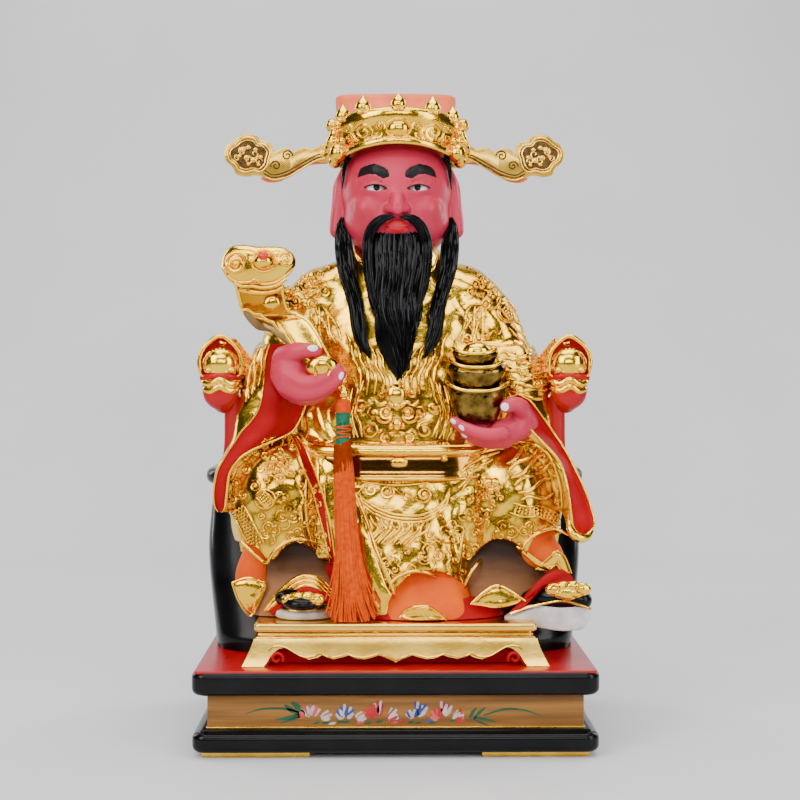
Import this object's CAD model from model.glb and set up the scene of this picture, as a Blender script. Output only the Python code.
"""The looks of a seated wealth god: gilt robe with raised ornament, lacquered throne and plinth."""

import math

import bpy
import numpy as np
import openvdb as vdb
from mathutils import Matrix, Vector
from mathutils.bvhtree import BVHTree
from mathutils.kdtree import KDTree


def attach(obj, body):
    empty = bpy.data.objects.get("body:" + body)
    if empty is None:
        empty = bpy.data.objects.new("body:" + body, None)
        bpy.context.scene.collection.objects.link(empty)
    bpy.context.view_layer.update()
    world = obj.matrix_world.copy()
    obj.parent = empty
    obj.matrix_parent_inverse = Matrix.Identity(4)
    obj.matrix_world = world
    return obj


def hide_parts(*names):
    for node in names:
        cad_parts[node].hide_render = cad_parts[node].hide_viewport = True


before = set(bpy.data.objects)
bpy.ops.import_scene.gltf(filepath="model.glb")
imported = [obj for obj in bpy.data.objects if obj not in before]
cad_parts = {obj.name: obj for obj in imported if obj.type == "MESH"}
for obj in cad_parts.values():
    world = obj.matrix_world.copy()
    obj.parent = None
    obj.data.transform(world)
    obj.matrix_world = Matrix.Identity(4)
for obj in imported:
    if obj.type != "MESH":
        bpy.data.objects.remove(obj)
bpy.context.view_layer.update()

# Levels and scale, in millimetres of the row frame
PLINTH_TOP = 61.0
STAND_LEVEL = 61.3
FIGURE_LEVEL = 90.2
UNIT = 387.4 / 387
LEFT, RIGHT = -1, 1

# Where the photo was taken from, and its focal length in picture points
EYE = np.array([-11.0, -1199.0, 272.0])
FOCAL = 1589.6
VANISH = (380.0, 366.0)


def at(px, py, y):
    """The point at depth y that shows at a picture point."""
    reach = (y - EYE[1]) / FOCAL
    return np.array([EYE[0] + (px - VANISH[0]) * reach, y, EYE[2] - (py - VANISH[1]) * reach])


def at_all(points):
    """The points for picture points that each carry their own depth."""
    return [at(*p) for p in points]


def unit_point(x, y, z):
    return np.array([x * UNIT, y * UNIT, z * UNIT + FIGURE_LEVEL])


# Shapes: a shape is a pair of points and faces, in millimetres of the row frame


def spline(rows):
    rows = np.array(rows, float)
    t, v = rows[:, 0], rows[:, 1:]
    d = np.empty_like(v)
    d[1:-1] = (v[2:] - v[:-2]) / (t[2:] - t[:-2])[:, None]
    d[0] = (v[1] - v[0]) / (t[1] - t[0])
    d[-1] = (v[-1] - v[-2]) / (t[-1] - t[-2])

    def value(x):
        x = np.clip(np.asarray(x, float), t[0], t[-1])
        i = np.clip(np.searchsorted(t, x, side="right") - 1, 0, len(t) - 2)
        h = t[i + 1] - t[i]
        s = ((x - t[i]) / h)[..., None]
        h = h[..., None]
        return (
            (1 + 2 * s) * (1 - s) ** 2 * v[i]
            + s * (1 - s) ** 2 * h * d[i]
            + s * s * (3 - 2 * s) * v[i + 1]
            + s * s * (s - 1) * h * d[i + 1]
        )

    return value


def full_turn(count):
    return np.linspace(0, 2 * math.pi, count, endpoint=False)


def tapered(count, shares, widths):
    """Widths at evenly spaced places, from the widths at some shares of the way."""
    return np.interp(np.linspace(0, 1, count), shares, widths)


def lofted(grid):
    """Faces over rings of points, each ring closed, with flat ends."""
    rings, sides, _ = grid.shape
    i = np.arange(rings - 1)[:, None] * sides
    j = np.arange(sides)[None, :]
    a = i + j
    b = i + (j + 1) % sides
    quads = np.stack([a, b, b + sides, a + sides], -1).reshape(-1, 4)
    faces = quads.tolist()
    faces.append(list(range(sides - 1, -1, -1)))
    faces.append(list(range((rings - 1) * sides, rings * sides)))
    return grid.reshape(-1, 3), faces


def pillar(rows, sides=96, levels=60, square=2.0, fold=None, local=True):
    """Level sections: height, middle x and y, half width and depth; in units from the soles where local."""
    section = spline(rows)
    share = np.linspace(0, 1, levels + 1)[:, None]
    height = rows[0][0] + (rows[-1][0] - rows[0][0]) * share
    x, y, wide, deep = np.moveaxis(section(height[:, 0]), -1, 0)[..., None]
    angle = full_turn(sides)[None, :]
    swell = fold(angle, share) if fold else np.ones((levels + 1, sides))
    power = 2 / square
    cos = np.sign(np.cos(angle)) * np.abs(np.cos(angle)) ** power
    sin = np.sign(np.sin(angle)) * np.abs(np.sin(angle)) ** power
    grid = np.stack([x + wide * swell * cos, y + deep * swell * sin, height + 0 * cos], -1)
    points, faces = lofted(grid)
    return (to_row(points) if local else points), faces


def to_row(points):
    return points * UNIT + np.array([0, 0, FIGURE_LEVEL])


def tube(path, radii, sides=8, across=None, flat=1.0, wave=None, samples=None):
    """A tube along points with a radius at each; its ends are rounded by the radii."""
    path = np.array(path, float)
    radii = np.broadcast_to(np.asarray(radii, float), (len(path),))
    if samples:
        rows = np.column_stack([np.arange(len(path)), path, radii])
        fine = spline(rows)(np.linspace(0, len(path) - 1, samples))
        path, radii = fine[:, :3], fine[:, 3]
    heading = np.gradient(path, axis=0)
    heading /= np.linalg.norm(heading, axis=1)[:, None] + 1e-12
    if across is None:
        start = np.array([0, 0, 1.0]) if abs(heading[0][2]) < 0.9 else np.array([1.0, 0, 0])
        carried = []
        current = start
        for h in heading:
            current = current - h * (current @ h)
            current /= np.linalg.norm(current) + 1e-12
            carried.append(current)
        wide = np.array(carried)
    else:
        across = np.broadcast_to(np.asarray(across, float), path.shape)
        wide = across - heading * np.sum(heading * across, axis=1)[:, None]
        wide /= np.linalg.norm(wide, axis=1)[:, None] + 1e-12
    thick = np.cross(heading, wide)
    angle = full_turn(sides)
    cos, sin = np.cos(angle), np.sin(angle)
    swell = np.ones((len(path), sides))
    if wave:
        swell = wave(angle[None, :], np.linspace(0, 1, len(path))[:, None])
    grid = path[:, None, :] + radii[:, None, None] * swell[..., None] * (
        wide[:, None, :] * cos[None, :, None] + flat * thick[:, None, :] * sin[None, :, None]
    )
    return lofted(grid)


def limb(stations, sides=40, samples=60, across=(1, 0, 0), wave=None, local=True, ends=True):
    """A form along stations of x, y, z, half width and thickness; in units from the soles where local."""
    stations = np.array(stations, float)
    rows = np.column_stack([np.arange(len(stations)), stations])
    share = np.linspace(0, 1, samples)
    fine = spline(rows)(share * (len(stations) - 1))
    path, wide, thick = fine[:, :3], fine[:, 3], fine[:, 4]
    heading = np.gradient(path, axis=0)
    heading /= np.linalg.norm(heading, axis=1)[:, None]
    if ends:
        cap = 6
        turn = np.linspace(math.pi / 2, 0, cap, endpoint=False)
        head = [path[0] - heading[0] * wide[0] * math.sin(a) for a in turn]
        tail = [path[-1] + heading[-1] * wide[-1] * math.sin(a) for a in turn[::-1]]
        grow = np.array([math.cos(a) for a in turn])
        path = np.vstack([head, path, tail])
        wide = np.concatenate([wide[0] * grow, wide, wide[-1] * grow[::-1]])
        thick = np.concatenate([thick[0] * grow, thick, thick[-1] * grow[::-1]])
        heading = np.vstack([[heading[0]] * cap, heading, [heading[-1]] * cap])
        share = np.concatenate([np.zeros(cap), share, np.ones(cap)])
    across = np.asarray(across, float)
    sideways = across - heading * (heading @ across)[:, None]
    sideways /= np.linalg.norm(sideways, axis=1)[:, None]
    other = np.cross(heading, sideways)
    angle = full_turn(sides)
    swell = wave(angle[None, :], share[:, None]) if wave else np.ones((len(path), sides))
    grid = (
        path[:, None, :]
        + sideways[:, None, :] * (wide[:, None] * np.cos(angle) * swell)[..., None]
        + other[:, None, :] * (thick[:, None] * np.sin(angle) * swell)[..., None]
    )
    points, faces = lofted(grid)
    return (to_row(points) if local else points), faces


def knob(middle, radii, around, down, turn=None):
    """A ball or egg about a point of the row frame."""
    radii = np.broadcast_to(np.asarray(radii, float), (3,))
    share = np.linspace(0.02, math.pi - 0.02, down)[:, None]
    angle = full_turn(around)[None, :]
    grid = np.stack([
        np.sin(share) * np.cos(angle) * radii[0],
        np.sin(share) * np.sin(angle) * radii[1],
        -np.cos(share) * radii[2] + 0 * angle,
    ], -1)
    if turn is not None:
        grid = grid @ np.array(turn).T
    return lofted(grid + np.array(middle, float))


def ball(middle, radii, around, down):
    """The same about a point in units from the soles."""
    points, faces = knob(middle, radii, around, down)
    return to_row(points), faces


def bevelled(low, high, edge):
    """Place and inset of the sections of a slab with small rounded edges."""
    return [(low, edge), (low + edge * 0.3, edge * 0.3), (low + edge, 0),
            (high - edge, 0), (high - edge * 0.3, edge * 0.3), (high, edge)]

CORNERS = [(1, -1, -90), (1, 1, 0), (-1, 1, 90), (-1, -1, 180)]
LEAST_RADIUS = 0.02


def slab(x0, x1, y0, y1, sections, corner, edge, steps):
    """Level sections with rounded corners; each has a height and an inset."""
    rings = []
    for z, inset in sections:
        radius = max(corner + edge - inset, LEAST_RADIUS)
        ring = []
        for side_x, side_y, first in CORNERS:
            x = (x1 - corner - edge) if side_x > 0 else (x0 + corner + edge)
            y = (y1 - corner - edge) if side_y > 0 else (y0 + corner + edge)
            for turn in np.linspace(first, first + 90, steps):
                a = math.radians(turn)
                ring.append([x + radius * math.cos(a), y + radius * math.sin(a), z])
        rings.append(ring)
    return lofted(np.array(rings, float))


def box(x0, x1, y0, y1, z0, z1, edge):
    """A block with small bevelled edges."""
    return slab(x0, x1, y0, y1, bevelled(z0, z1, edge), 0, edge, 3)


def board(half_x, y0, y1, z0, z1, corner, edge, steps=8):
    """A board with rounded corners in plan and a rounded edge all round."""
    arc = np.linspace(0, math.pi / 2, steps)
    sections = [(z0 + edge * (1 - math.cos(a)), edge * (1 - math.sin(a))) for a in arc]
    sections += [(z1 - edge * (1 - math.cos(a)), edge * (1 - math.sin(a)))
                 for a in np.linspace(math.pi / 2, 0, steps)]
    return slab(-half_x, half_x, y0, y1, sections, corner, edge, steps)


def together(shapes):
    points, faces, base = [], [], 0
    for p, f in shapes:
        points.append(p)
        faces += [[i + base for i in face] for face in f]
        base += len(p)
    return np.vstack(points), faces


def mirrored(shape):
    points, faces = shape
    return points * np.array([-1, 1, 1]), [face[::-1] for face in faces]


def triangles(faces):
    return np.array([[f[0], f[i], f[i + 1]] for f in faces for i in range(1, len(f) - 1)], np.int32)


def open_line(points, samples):
    points = np.array(points, float)
    return spline(np.column_stack([np.arange(len(points)), points]))(
        np.linspace(0, len(points) - 1, samples))


def closed_line(points, samples):
    """A smooth closed line through points."""
    points = np.array(points, float)
    n = len(points)
    rows = np.column_stack([np.arange(-2, n + 3), points[np.arange(-2, n + 3) % n]])
    return spline(rows)(np.linspace(0, n, samples, endpoint=False))


def pillow(points, bulge, back=2.0, way=(0, -1, 0), samples=64, rings=9, middle=None, power=2.0):
    """A closed cushion whose edge is a smooth line through points and whose front swells out."""
    edge = closed_line(points, samples)
    centre = edge.mean(0) if middle is None else np.array(middle, float)
    way = np.array(way, float) / np.linalg.norm(way)
    grid = []
    for share in np.linspace(0.03, 1, rings):
        grid.append(centre + (edge - centre) * share + way * bulge * (1 - share**power) ** (1 / power))
    for share in np.linspace(1, 0.03, rings)[1:]:
        grid.append(centre + (edge - centre) * share - way * back * (1 - share**2) ** 0.5)
    shape = lofted(np.array(grid))
    return facing_out(shape)


def facing_out(shape):
    points, faces = shape
    t = triangles(faces)
    volume = np.sum(np.cross(points[t[:, 0]], points[t[:, 1]]) * points[t[:, 2]])
    return (points, faces) if volume > 0 else (points, [f[::-1] for f in faces])


# Cast forms: shapes melted into one skin through a distance field

BAND = 6


def distance(shape, low, size, voxel):
    points, faces = shape
    grid = vdb.FloatGrid.createLevelSetFromPolygons(
        points.astype(np.float32), triangles=triangles(faces),
        transform=vdb.createLinearTransform(voxel), halfWidth=BAND)
    values = np.full(size, BAND * voxel, np.float32)
    grid.copyToArray(values, ijk=tuple(int(v) for v in low))
    return values


def soft_min(a, b, soft):
    if soft <= 0:
        return np.minimum(a, b)
    share = np.clip(0.5 + 0.5 * (b - a) / soft, 0, 1)
    return b * (1 - share) + a * share - soft * share * (1 - share)


def cast(shapes, voxel, soft=0.0, cuts=(), cut_soft=0.0):
    """One skin over all shapes, less the cuts. Neighbours melt into each other by soft mm."""
    everything = np.vstack([s[0] for s in shapes])
    low = np.floor(everything.min(0) / voxel).astype(int) - BAND
    size = tuple(np.ceil(everything.max(0) / voxel).astype(int) + BAND - low)
    whole = None
    for shape in shapes:
        one = distance(shape, low, size, voxel)
        whole = one if whole is None else soft_min(whole, one, soft)
    for shape in cuts:
        whole = -soft_min(-whole, distance(shape, low, size, voxel), cut_soft)
    grid = vdb.FloatGrid(BAND * voxel)
    grid.transform = vdb.createLinearTransform(voxel)
    grid.copyFromArray(whole.astype(np.float32), ijk=tuple(int(v) for v in low))
    points, tris, quads = grid.convertToPolygons(isovalue=0.0, adaptivity=0.0)
    faces = [f[::-1] for f in tris.tolist() + quads.tolist()]
    return np.array(points, float), faces


def smoothed(shape, rounds):
    """A cast form, whose faces all have four corners, smoothed without shrinking."""
    points, faces = shape
    quads = np.array(faces)
    edges = np.vstack([quads[:, [i, (i + 1) % 4]] for i in range(4)])
    n = len(points)
    count = np.bincount(edges[:, 0], minlength=n) + np.bincount(edges[:, 1], minlength=n)
    for _ in range(rounds):
        for w in (0.5, -0.5 * 1.04):
            mean = np.zeros_like(points)
            for axis in range(3):
                mean[:, axis] = (
                    np.bincount(edges[:, 0], points[edges[:, 1], axis], n)
                    + np.bincount(edges[:, 1], points[edges[:, 0], axis], n)
                )
            mean /= np.maximum(count, 1)[:, None]
            points = points + w * (mean - points)
    return points, faces


# Pieces in the scene

HEAVY = 8000
HEAVY_KEEPS = 0.72


def slimmed(piece, keep):
    """The piece's mesh with a share of its triangles, dropped where the form is flattest."""
    modifier = piece.modifiers.new("slim", "DECIMATE")
    modifier.ratio = keep
    graph = bpy.context.evaluated_depsgraph_get()
    mesh = bpy.data.meshes.new_from_object(piece.evaluated_get(graph))
    piece.modifiers.clear()
    return mesh


def show(name, shape, material, replaces=(), angle=40, keep=None):
    """A piece of one shape or of a list of shapes, less a share of its triangles where it is heavy."""
    points, faces = together(shape) if isinstance(shape, list) else shape
    if keep is None:
        keep = HEAVY_KEEPS if len(faces) > HEAVY else 1.0
    mesh = bpy.data.meshes.new(name)
    mesh.from_pydata((points * 0.001).tolist(), [], faces)
    mesh.validate()
    mesh.update()
    piece = bpy.data.objects.new(name, mesh)
    bpy.context.scene.collection.objects.link(piece)
    mesh.materials.append(material)
    if keep < 1:
        piece.data = mesh = slimmed(piece, keep)
    mesh.polygons.foreach_set("use_smooth", [True] * len(mesh.polygons))
    mesh.set_sharp_from_angle(angle=math.radians(angle))
    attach(piece, "root")
    if replaces:
        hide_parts(*replaces)
    return piece


# Materials


def new_node(material, kind, values=None):
    """A node of a material with some of its inputs set."""
    node = material.node_tree.nodes.new(kind)
    for name, value in (values or {}).items():
        node.inputs[name].default_value = value
    return node


def mixed(material, share, first, second):
    """A colour between two, by a share; each is a tint or what another node gives."""
    node = new_node(material, "ShaderNodeMix")
    node.data_type = "RGBA"
    link = material.node_tree.links.new
    link(share, node.inputs[0])
    for socket, colour in ((node.inputs[6], first), (node.inputs[7], second)):
        if isinstance(colour, tuple):
            socket.default_value = (*colour, 1)
        else:
            link(colour, socket)
    return node.outputs[2]


def finish(name, dark, light, rough, metallic=0.0, scale=30.0, bump=0.15, bump_scale=300.0,
           coat=0.0, rough_spread=0.08, stretch=(1, 1, 1), bump_depth=0.0004, hollow=None,
           specular=0.5, recess=None):
    """A finish whose tint and gloss wander a little, with a fine unevenness."""
    material = bpy.data.materials.new(name)
    material.use_nodes = True
    shader = material.node_tree.nodes["Principled BSDF"]
    link = material.node_tree.links.new
    place = new_node(material, "ShaderNodeTexCoord")
    mapping = new_node(material, "ShaderNodeMapping", {"Scale": stretch})
    link(place.outputs["Object"], mapping.inputs["Vector"])
    broad = new_node(material, "ShaderNodeTexNoise", {"Scale": scale, "Detail": 5})
    link(mapping.outputs["Vector"], broad.inputs["Vector"])
    ramp = new_node(material, "ShaderNodeValToRGB")
    for stop, position, tint in zip(ramp.color_ramp.elements, (0.3, 0.7), (dark, light)):
        stop.position = position
        stop.color = (*tint, 1)
    link(broad.outputs["Fac"], ramp.inputs["Fac"])
    colour = ramp.outputs["Color"]
    if hollow:
        geometry = new_node(material, "ShaderNodeNewGeometry")
        edge = new_node(material, "ShaderNodeMapRange", {"From Min": 0.40, "From Max": 0.50})
        link(geometry.outputs["Pointiness"], edge.inputs["Value"])
        colour = mixed(material, edge.outputs["Result"], hollow, colour)
    if recess:
        mark = new_node(material, "ShaderNodeAttribute")
        mark.attribute_name = "recess"
        colour = mixed(material, mark.outputs["Fac"], colour, recess)
    link(colour, shader.inputs["Base Color"])
    spread = new_node(material, "ShaderNodeMapRange",
                      {"To Min": max(0.02, rough - rough_spread), "To Max": rough + rough_spread})
    link(broad.outputs["Fac"], spread.inputs["Value"])
    link(spread.outputs["Result"], shader.inputs["Roughness"])
    shader.inputs["Metallic"].default_value = metallic
    shader.inputs["Specular IOR Level"].default_value = specular
    shader.inputs["Coat Weight"].default_value = coat
    shader.inputs["Coat Roughness"].default_value = 0.08
    fine = new_node(material, "ShaderNodeTexNoise", {"Scale": bump_scale, "Detail": 3})
    link(mapping.outputs["Vector"], fine.inputs["Vector"])
    uneven = new_node(material, "ShaderNodeBump", {"Strength": bump, "Distance": bump_depth})
    link(fine.outputs["Fac"], uneven.inputs["Height"])
    link(uneven.outputs["Normal"], shader.inputs["Normal"])
    return material


def darker_upward(material, share, low, high):
    """Paint that darkens with height, as under a hem."""
    link = material.node_tree.links.new
    shader = material.node_tree.nodes["Principled BSDF"]
    colour = shader.inputs["Base Color"].links[0].from_socket
    place = new_node(material, "ShaderNodeTexCoord")
    parts = new_node(material, "ShaderNodeSeparateXYZ")
    link(place.outputs["Object"], parts.inputs[0])
    height = new_node(material, "ShaderNodeMapRange",
                      {"From Min": low, "From Max": high, "To Min": 1.0, "To Max": share})
    link(parts.outputs["Z"], height.inputs["Value"])
    scale = new_node(material, "ShaderNodeVectorMath")
    scale.operation = "SCALE"
    link(colour, scale.inputs[0])
    link(height.outputs["Result"], scale.inputs["Scale"])
    link(scale.outputs["Vector"], shader.inputs["Base Color"])

GOLD = finish("mirror_gold", (0.92, 0.50, 0.018), (1.0, 0.66, 0.05), 0.18, 1.0, scale=25, bump=0.5,
              bump_scale=150, rough_spread=0.05, hollow=(0.55, 0.26, 0.008), recess=(0.38, 0.175, 0.006),
              bump_depth=0.0007)
SLAB_GOLD = finish("worn_gold", (0.86, 0.47, 0.040), (1.0, 0.65, 0.11), 0.22, 1.0, scale=18, bump=0.35,
                   bump_scale=120, rough_spread=0.08)
PALE_GOLD = finish("pale_gold", (0.62, 0.34, 0.03), (0.90, 0.55, 0.075), 0.27, 1.0, scale=60, bump=0.3,
                   bump_scale=200, hollow=(0.10, 0.045, 0.008))
RED = finish("red_lacquer", (0.30, 0.0, 0.002), (0.42, 0.0, 0.003), 0.3, scale=30, bump=0.2,
             bump_scale=120, coat=0.12, specular=0.25)
LINING = finish("red_lining", (0.26, 0.0, 0.003), (0.38, 0.0, 0.004), 0.5, scale=24, bump=0.25,
                bump_scale=90, specular=0.12)
BLACK = finish("black_lacquer", (0.0008, 0.0008, 0.001), (0.004, 0.004, 0.005), 0.22, scale=40, bump=0.25,
               bump_scale=140, coat=0.04, specular=0.16)
ORANGE = finish("orange_paint", (0.60, 0.058, 0.0), (0.78, 0.118, 0.0), 0.5, scale=40, bump=0.2,
                bump_scale=120, specular=0.10)
BROWN = finish("brown_paint", (0.18, 0.065, 0.022), (0.38, 0.17, 0.065), 0.5, scale=14, bump=0.3,
               bump_scale=150, stretch=(1, 1, 5), specular=0.2)
darker_upward(BROWN, 0.10, 0.105, 0.135)
SKIN = finish("skin", (0.46, 0.018, 0.052), (0.54, 0.030, 0.070), 0.4, scale=22, bump=0.12,
              bump_scale=160, specular=0.28)
WHITE = finish("white_paint", (0.78, 0.76, 0.74), (0.9, 0.88, 0.86), 0.4, scale=60, bump=0.2,
               bump_scale=150)
SOLE = finish("sole_paint", (0.42, 0.38, 0.40), (0.74, 0.71, 0.71), 0.45, scale=70, bump=0.4,
              bump_scale=180)
HAIR = finish("black_hair", (0.0010, 0.0010, 0.0012), (0.003, 0.003, 0.004), 0.15, scale=90, bump=0.04,
              bump_scale=200, specular=0.13, rough_spread=0.05)
INK = finish("black_paint", (0.003, 0.003, 0.004), (0.008, 0.008, 0.008), 0.4, scale=80, bump=0.2,
             bump_scale=300, specular=0.2)
OCHRE = finish("ochre_paint", (0.085, 0.031, 0.004), (0.33, 0.142, 0.026), 0.5, scale=75, bump=0.7,
               bump_scale=90, stretch=(0.10, 0.10, 2.2), specular=0.3)
HAT_RED = finish("hat_cloth_paint", (0.68, 0.10, 0.03), (0.84, 0.17, 0.07), 0.55, scale=60, bump=0.5,
                 bump_scale=220, specular=0.2)
THREAD = finish("orange_thread", (0.48, 0.042, 0.0), (0.70, 0.092, 0.0), 0.62, scale=300, bump=0.6,
                bump_scale=900, specular=0.08)
THREAD_SHADE = finish("thread_shade", (0.16, 0.014, 0.0), (0.26, 0.030, 0.0), 0.7, scale=300, bump=0.6,
                      bump_scale=900, specular=0.05)
GREEN = finish("green_thread", (0.0, 0.09, 0.045), (0.005, 0.18, 0.09), 0.45, scale=300, bump=0.6,
               bump_scale=900, specular=0.3)
JEWEL = finish("red_jewel", (0.50, 0.003, 0.003), (0.72, 0.006, 0.006), 0.08, scale=60, bump=0.05,
               bump_scale=200, specular=0.4)
EYE_WHITE = finish("eye_white", (0.62, 0.60, 0.58), (0.75, 0.73, 0.71), 0.2, scale=90, bump=0.05)
LIPS = finish("lip_paint", (0.42, 0.003, 0.003), (0.54, 0.006, 0.006), 0.35, scale=80, bump=0.2,
              specular=0.2)
PETAL_RED = finish("petal_red", (0.30, 0.001, 0.002), (0.48, 0.008, 0.008), 0.4, scale=160, bump=0.2)
PETAL_PINK = finish("petal_pink", (0.44, 0.020, 0.020), (0.58, 0.10, 0.09), 0.4, scale=160, bump=0.2)
PETAL_WHITE = finish("petal_white", (0.36, 0.29, 0.29), (0.54, 0.47, 0.46), 0.4, scale=160, bump=0.2)
PETAL_BLUE = finish("petal_blue", (0.008, 0.016, 0.15), (0.03, 0.06, 0.26), 0.4, scale=160, bump=0.2)
LEAF_GREEN = finish("leaf_green", (0.002, 0.040, 0.012), (0.005, 0.085, 0.028), 0.4, scale=160, bump=0.2)
AMBER_GOLD = finish("amber_gold", (0.42, 0.17, 0.001), (0.66, 0.30, 0.006), 0.24, 1.0, scale=40, bump=0.4,
                    bump_scale=150)
INGOT_GOLD = finish("ingot_gold", (0.035, 0.02, 0.003), (0.28, 0.17, 0.035), 0.16, 1.0, scale=130, bump=0.9,
                    bump_scale=110, bump_depth=0.0016)
BELT_GOLD = finish("belt_gold", (0.34, 0.14, 0.012), (0.58, 0.28, 0.04), 0.12, 1.0, scale=12, bump=0.25,
                   bump_scale=150, rough_spread=0.05)
DARK_GOLD = finish("dark_gold", (0.16, 0.09, 0.03), (0.32, 0.20, 0.08), 0.3, 1.0, scale=60, bump=0.3,
                   bump_scale=300)
DARK_FIELD = finish("stippled_field", (0.030, 0.014, 0.003), (0.16, 0.085, 0.018), 0.6, 0.3, scale=420,
                    bump=1.0,
                    bump_scale=1400, bump_depth=0.0006, specular=0.2)


# Large forms of the figure, in units from the soles

LAP = [[0, 8, -30, 52, 35], [40, 5, -28, 51, 37], [76, 2, -21, 52, 36], [98, 2, -11, 54, 34],
       [112, 2, 0, 50, 32]]
TORSO = [[100, 2, -1, 76, 38], [125, 1, -2, 80, 39], [150, 0, -3, 80, 38], [190, 0, -2, 74, 36],
         [225, 0, 2, 64, 32], [250, 0, 6, 54, 26], [266, 0, 8, 38, 21], [277, 1, 8, 25, 19]]
KNEES = {
    LEFT: [[42, -84, -17, 33, 37], [72, -84, -18, 37, 42], [100, -84, -16, 37, 43],
           [120, -82, -10, 33, 38], [134, -77, -4, 18, 22]],
    RIGHT: [[40, 86, -18, 36, 40], [72, 87, -19, 37, 42], [100, 86, -16, 37, 43],
            [120, 83, -10, 33, 38], [134, 78, -4, 18, 22]],
}
SLEEVES = {
    LEFT: [[74, -126, -29, 3, 6], [84, -127, -28, 6, 12], [106, -124, -27, 8, 18], [120, -112, -26, 12, 23],
           [135, -98, -24, 21, 28], [150, -95, -22, 23, 30], [165, -90, -20, 24, 32], [196, -80, -3, 25, 27]],
    RIGHT: [[59, 134, -48, 5, 6], [70, 134, -46, 9.5, 12], [92, 127, -38, 11, 17], [106, 121, -34, 11, 20],
            [120, 110, -30, 13, 24], [135, 98, -27, 17, 28], [165, 91, -20, 24, 32], [196, 80, -3, 25, 27]],
}
UPPER_ARM = [[24, 8, 238, 20, 20], [50, 7, 234, 26, 24], [67, 5, 215, 27, 25], [77, 1, 190, 27, 25],
             [81, -6, 168, 24, 23]]


def falling(count, depth, turn=0.0):
    def swell(angle, share):
        return 1 + depth * np.cos(count * (angle + turn)) * np.sin(
            math.pi * np.minimum(1, share * 0.9 + 0.1))
    return swell


def arch_cut(x0, x1, z0, peak, peak_x, y0, y1):
    angle = np.linspace(math.pi, 0, 40)
    reach = np.where(np.cos(angle) < 0, peak_x - x0, x1 - peak_x)
    xs = peak_x + reach * np.cos(angle)
    zs = z0 + (peak - z0) * np.sin(angle)
    ring = np.stack([xs, zs], -1)
    grid = np.array([[[x, y, z] for x, z in ring] for y in np.linspace(y0, y1, 3)])
    points, faces = lofted(grid)
    return to_row(points), [f[::-1] for f in faces]


def other_side(stations):
    return [[-s[0], *s[1:]] for s in stations]

GOLD_SKIRT = [[38, -3, -3, 98, 43], [44, -2, -3, 102, 45], [70, 0, -2, 108, 47], [105, 0, 0, 104, 46],
              [130, 0, 4, 76, 40]]
robe_forms = [
    pillar(GOLD_SKIRT, square=2.6, fold=falling(7, 0.018)),
    pillar(LAP, fold=falling(7, 0.02, 0.3)),
    pillar(TORSO, square=2.2, fold=falling(7, 0.012)),
    pillar(KNEES[LEFT], fold=falling(7, 0.025, 0.2)),
    pillar(KNEES[RIGHT], fold=falling(7, 0.025, -0.4)),
    pillar(SLEEVES[LEFT], fold=falling(5, 0.05)),
    pillar(SLEEVES[RIGHT], fold=falling(5, 0.05, 0.4)),
    limb(UPPER_ARM, across=(0, 1, 0), ends=False),
    limb(other_side(UPPER_ARM), across=(0, 1, 0), ends=False),
]
robe_cuts = [
    arch_cut(-96, -46, -3, 54, -72, -90, -26),
    arch_cut(47, 108, -3, 57, 76, -90, -24),
    arch_cut(-6, 57, -3, 35, 22, -90, -42),
    arch_cut(-140, -86, 20, 53, -112, -90, -8),
    arch_cut(92, 130, 22, 64, 111, -90, -16),
]
FOLDS = [
    ([(258, 300), (280, 308), (302, 330)], 4.5), ([(254, 318), (272, 328), (288, 346)], 4.5),
    ([(268, 285), (290, 293), (306, 306)], 3.5), ([(316, 400), (326, 432), (350, 460)], 4.5),
    ([(306, 414), (316, 446), (342, 474)], 4.0), ([(512, 342), (526, 356), (532, 380)], 4.0),
    ([(462, 470), (480, 458), (512, 448)], 4.0), ([(456, 486), (470, 474), (486, 466)], 3.2),
    ([(466, 492), (461, 530), (459, 584)], 3.6), ([(450, 540), (449, 560), (452, 592)], 3.0),
    ([(356, 492), (374, 548), (400, 604)], 3.6), ([(352, 520), (362, 560), (376, 600)], 3.0),
    ([(300, 520), (308, 545), (318, 566)], 3.0), ([(236, 500), (240, 530), (250, 560)], 3.2),
    ([(440, 392), (452, 410), (450, 436)], 3.4), ([(344, 392), (338, 414), (344, 440)], 3.4),
    ([(560, 470), (572, 500), (568, 528)], 3.4),
]


def robe_cast(forms, voxel):
    return cast(forms, voxel, soft=5.0, cuts=robe_cuts, cut_soft=1.0)


plain_robe = robe_cast(robe_forms, 3.0)
robe_skin = BVHTree.FromPolygons(plain_robe[0].tolist(), plain_robe[1])


def on_skin(px, py, lift=0.0, skin=None, fallback=-50.0):
    """The point of the robe that shows at a picture point, raised along its normal, and that normal."""
    way = at(px, py, 0.0) - EYE
    way /= np.linalg.norm(way)
    hit, normal, _, _ = (skin or robe_skin).ray_cast(Vector(EYE.tolist()), Vector(way.tolist()))
    if hit is None:
        return at(px, py, fallback), np.array([0, -1.0, 0])
    normal = np.array(normal)
    if normal @ way > 0:
        normal = -normal
    return np.array(hit) + normal * lift, normal


def fold_ridge(points, radius, samples=24):
    """A soft ridge that lies half sunk along picture points."""
    sunk = -0.55 * radius
    line = [on_skin(px, py, sunk)[0] for px, py in open_line(points, samples)]
    return tube(line, radius * np.sin(np.linspace(0.25, math.pi - 0.25, samples)), 12)


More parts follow.
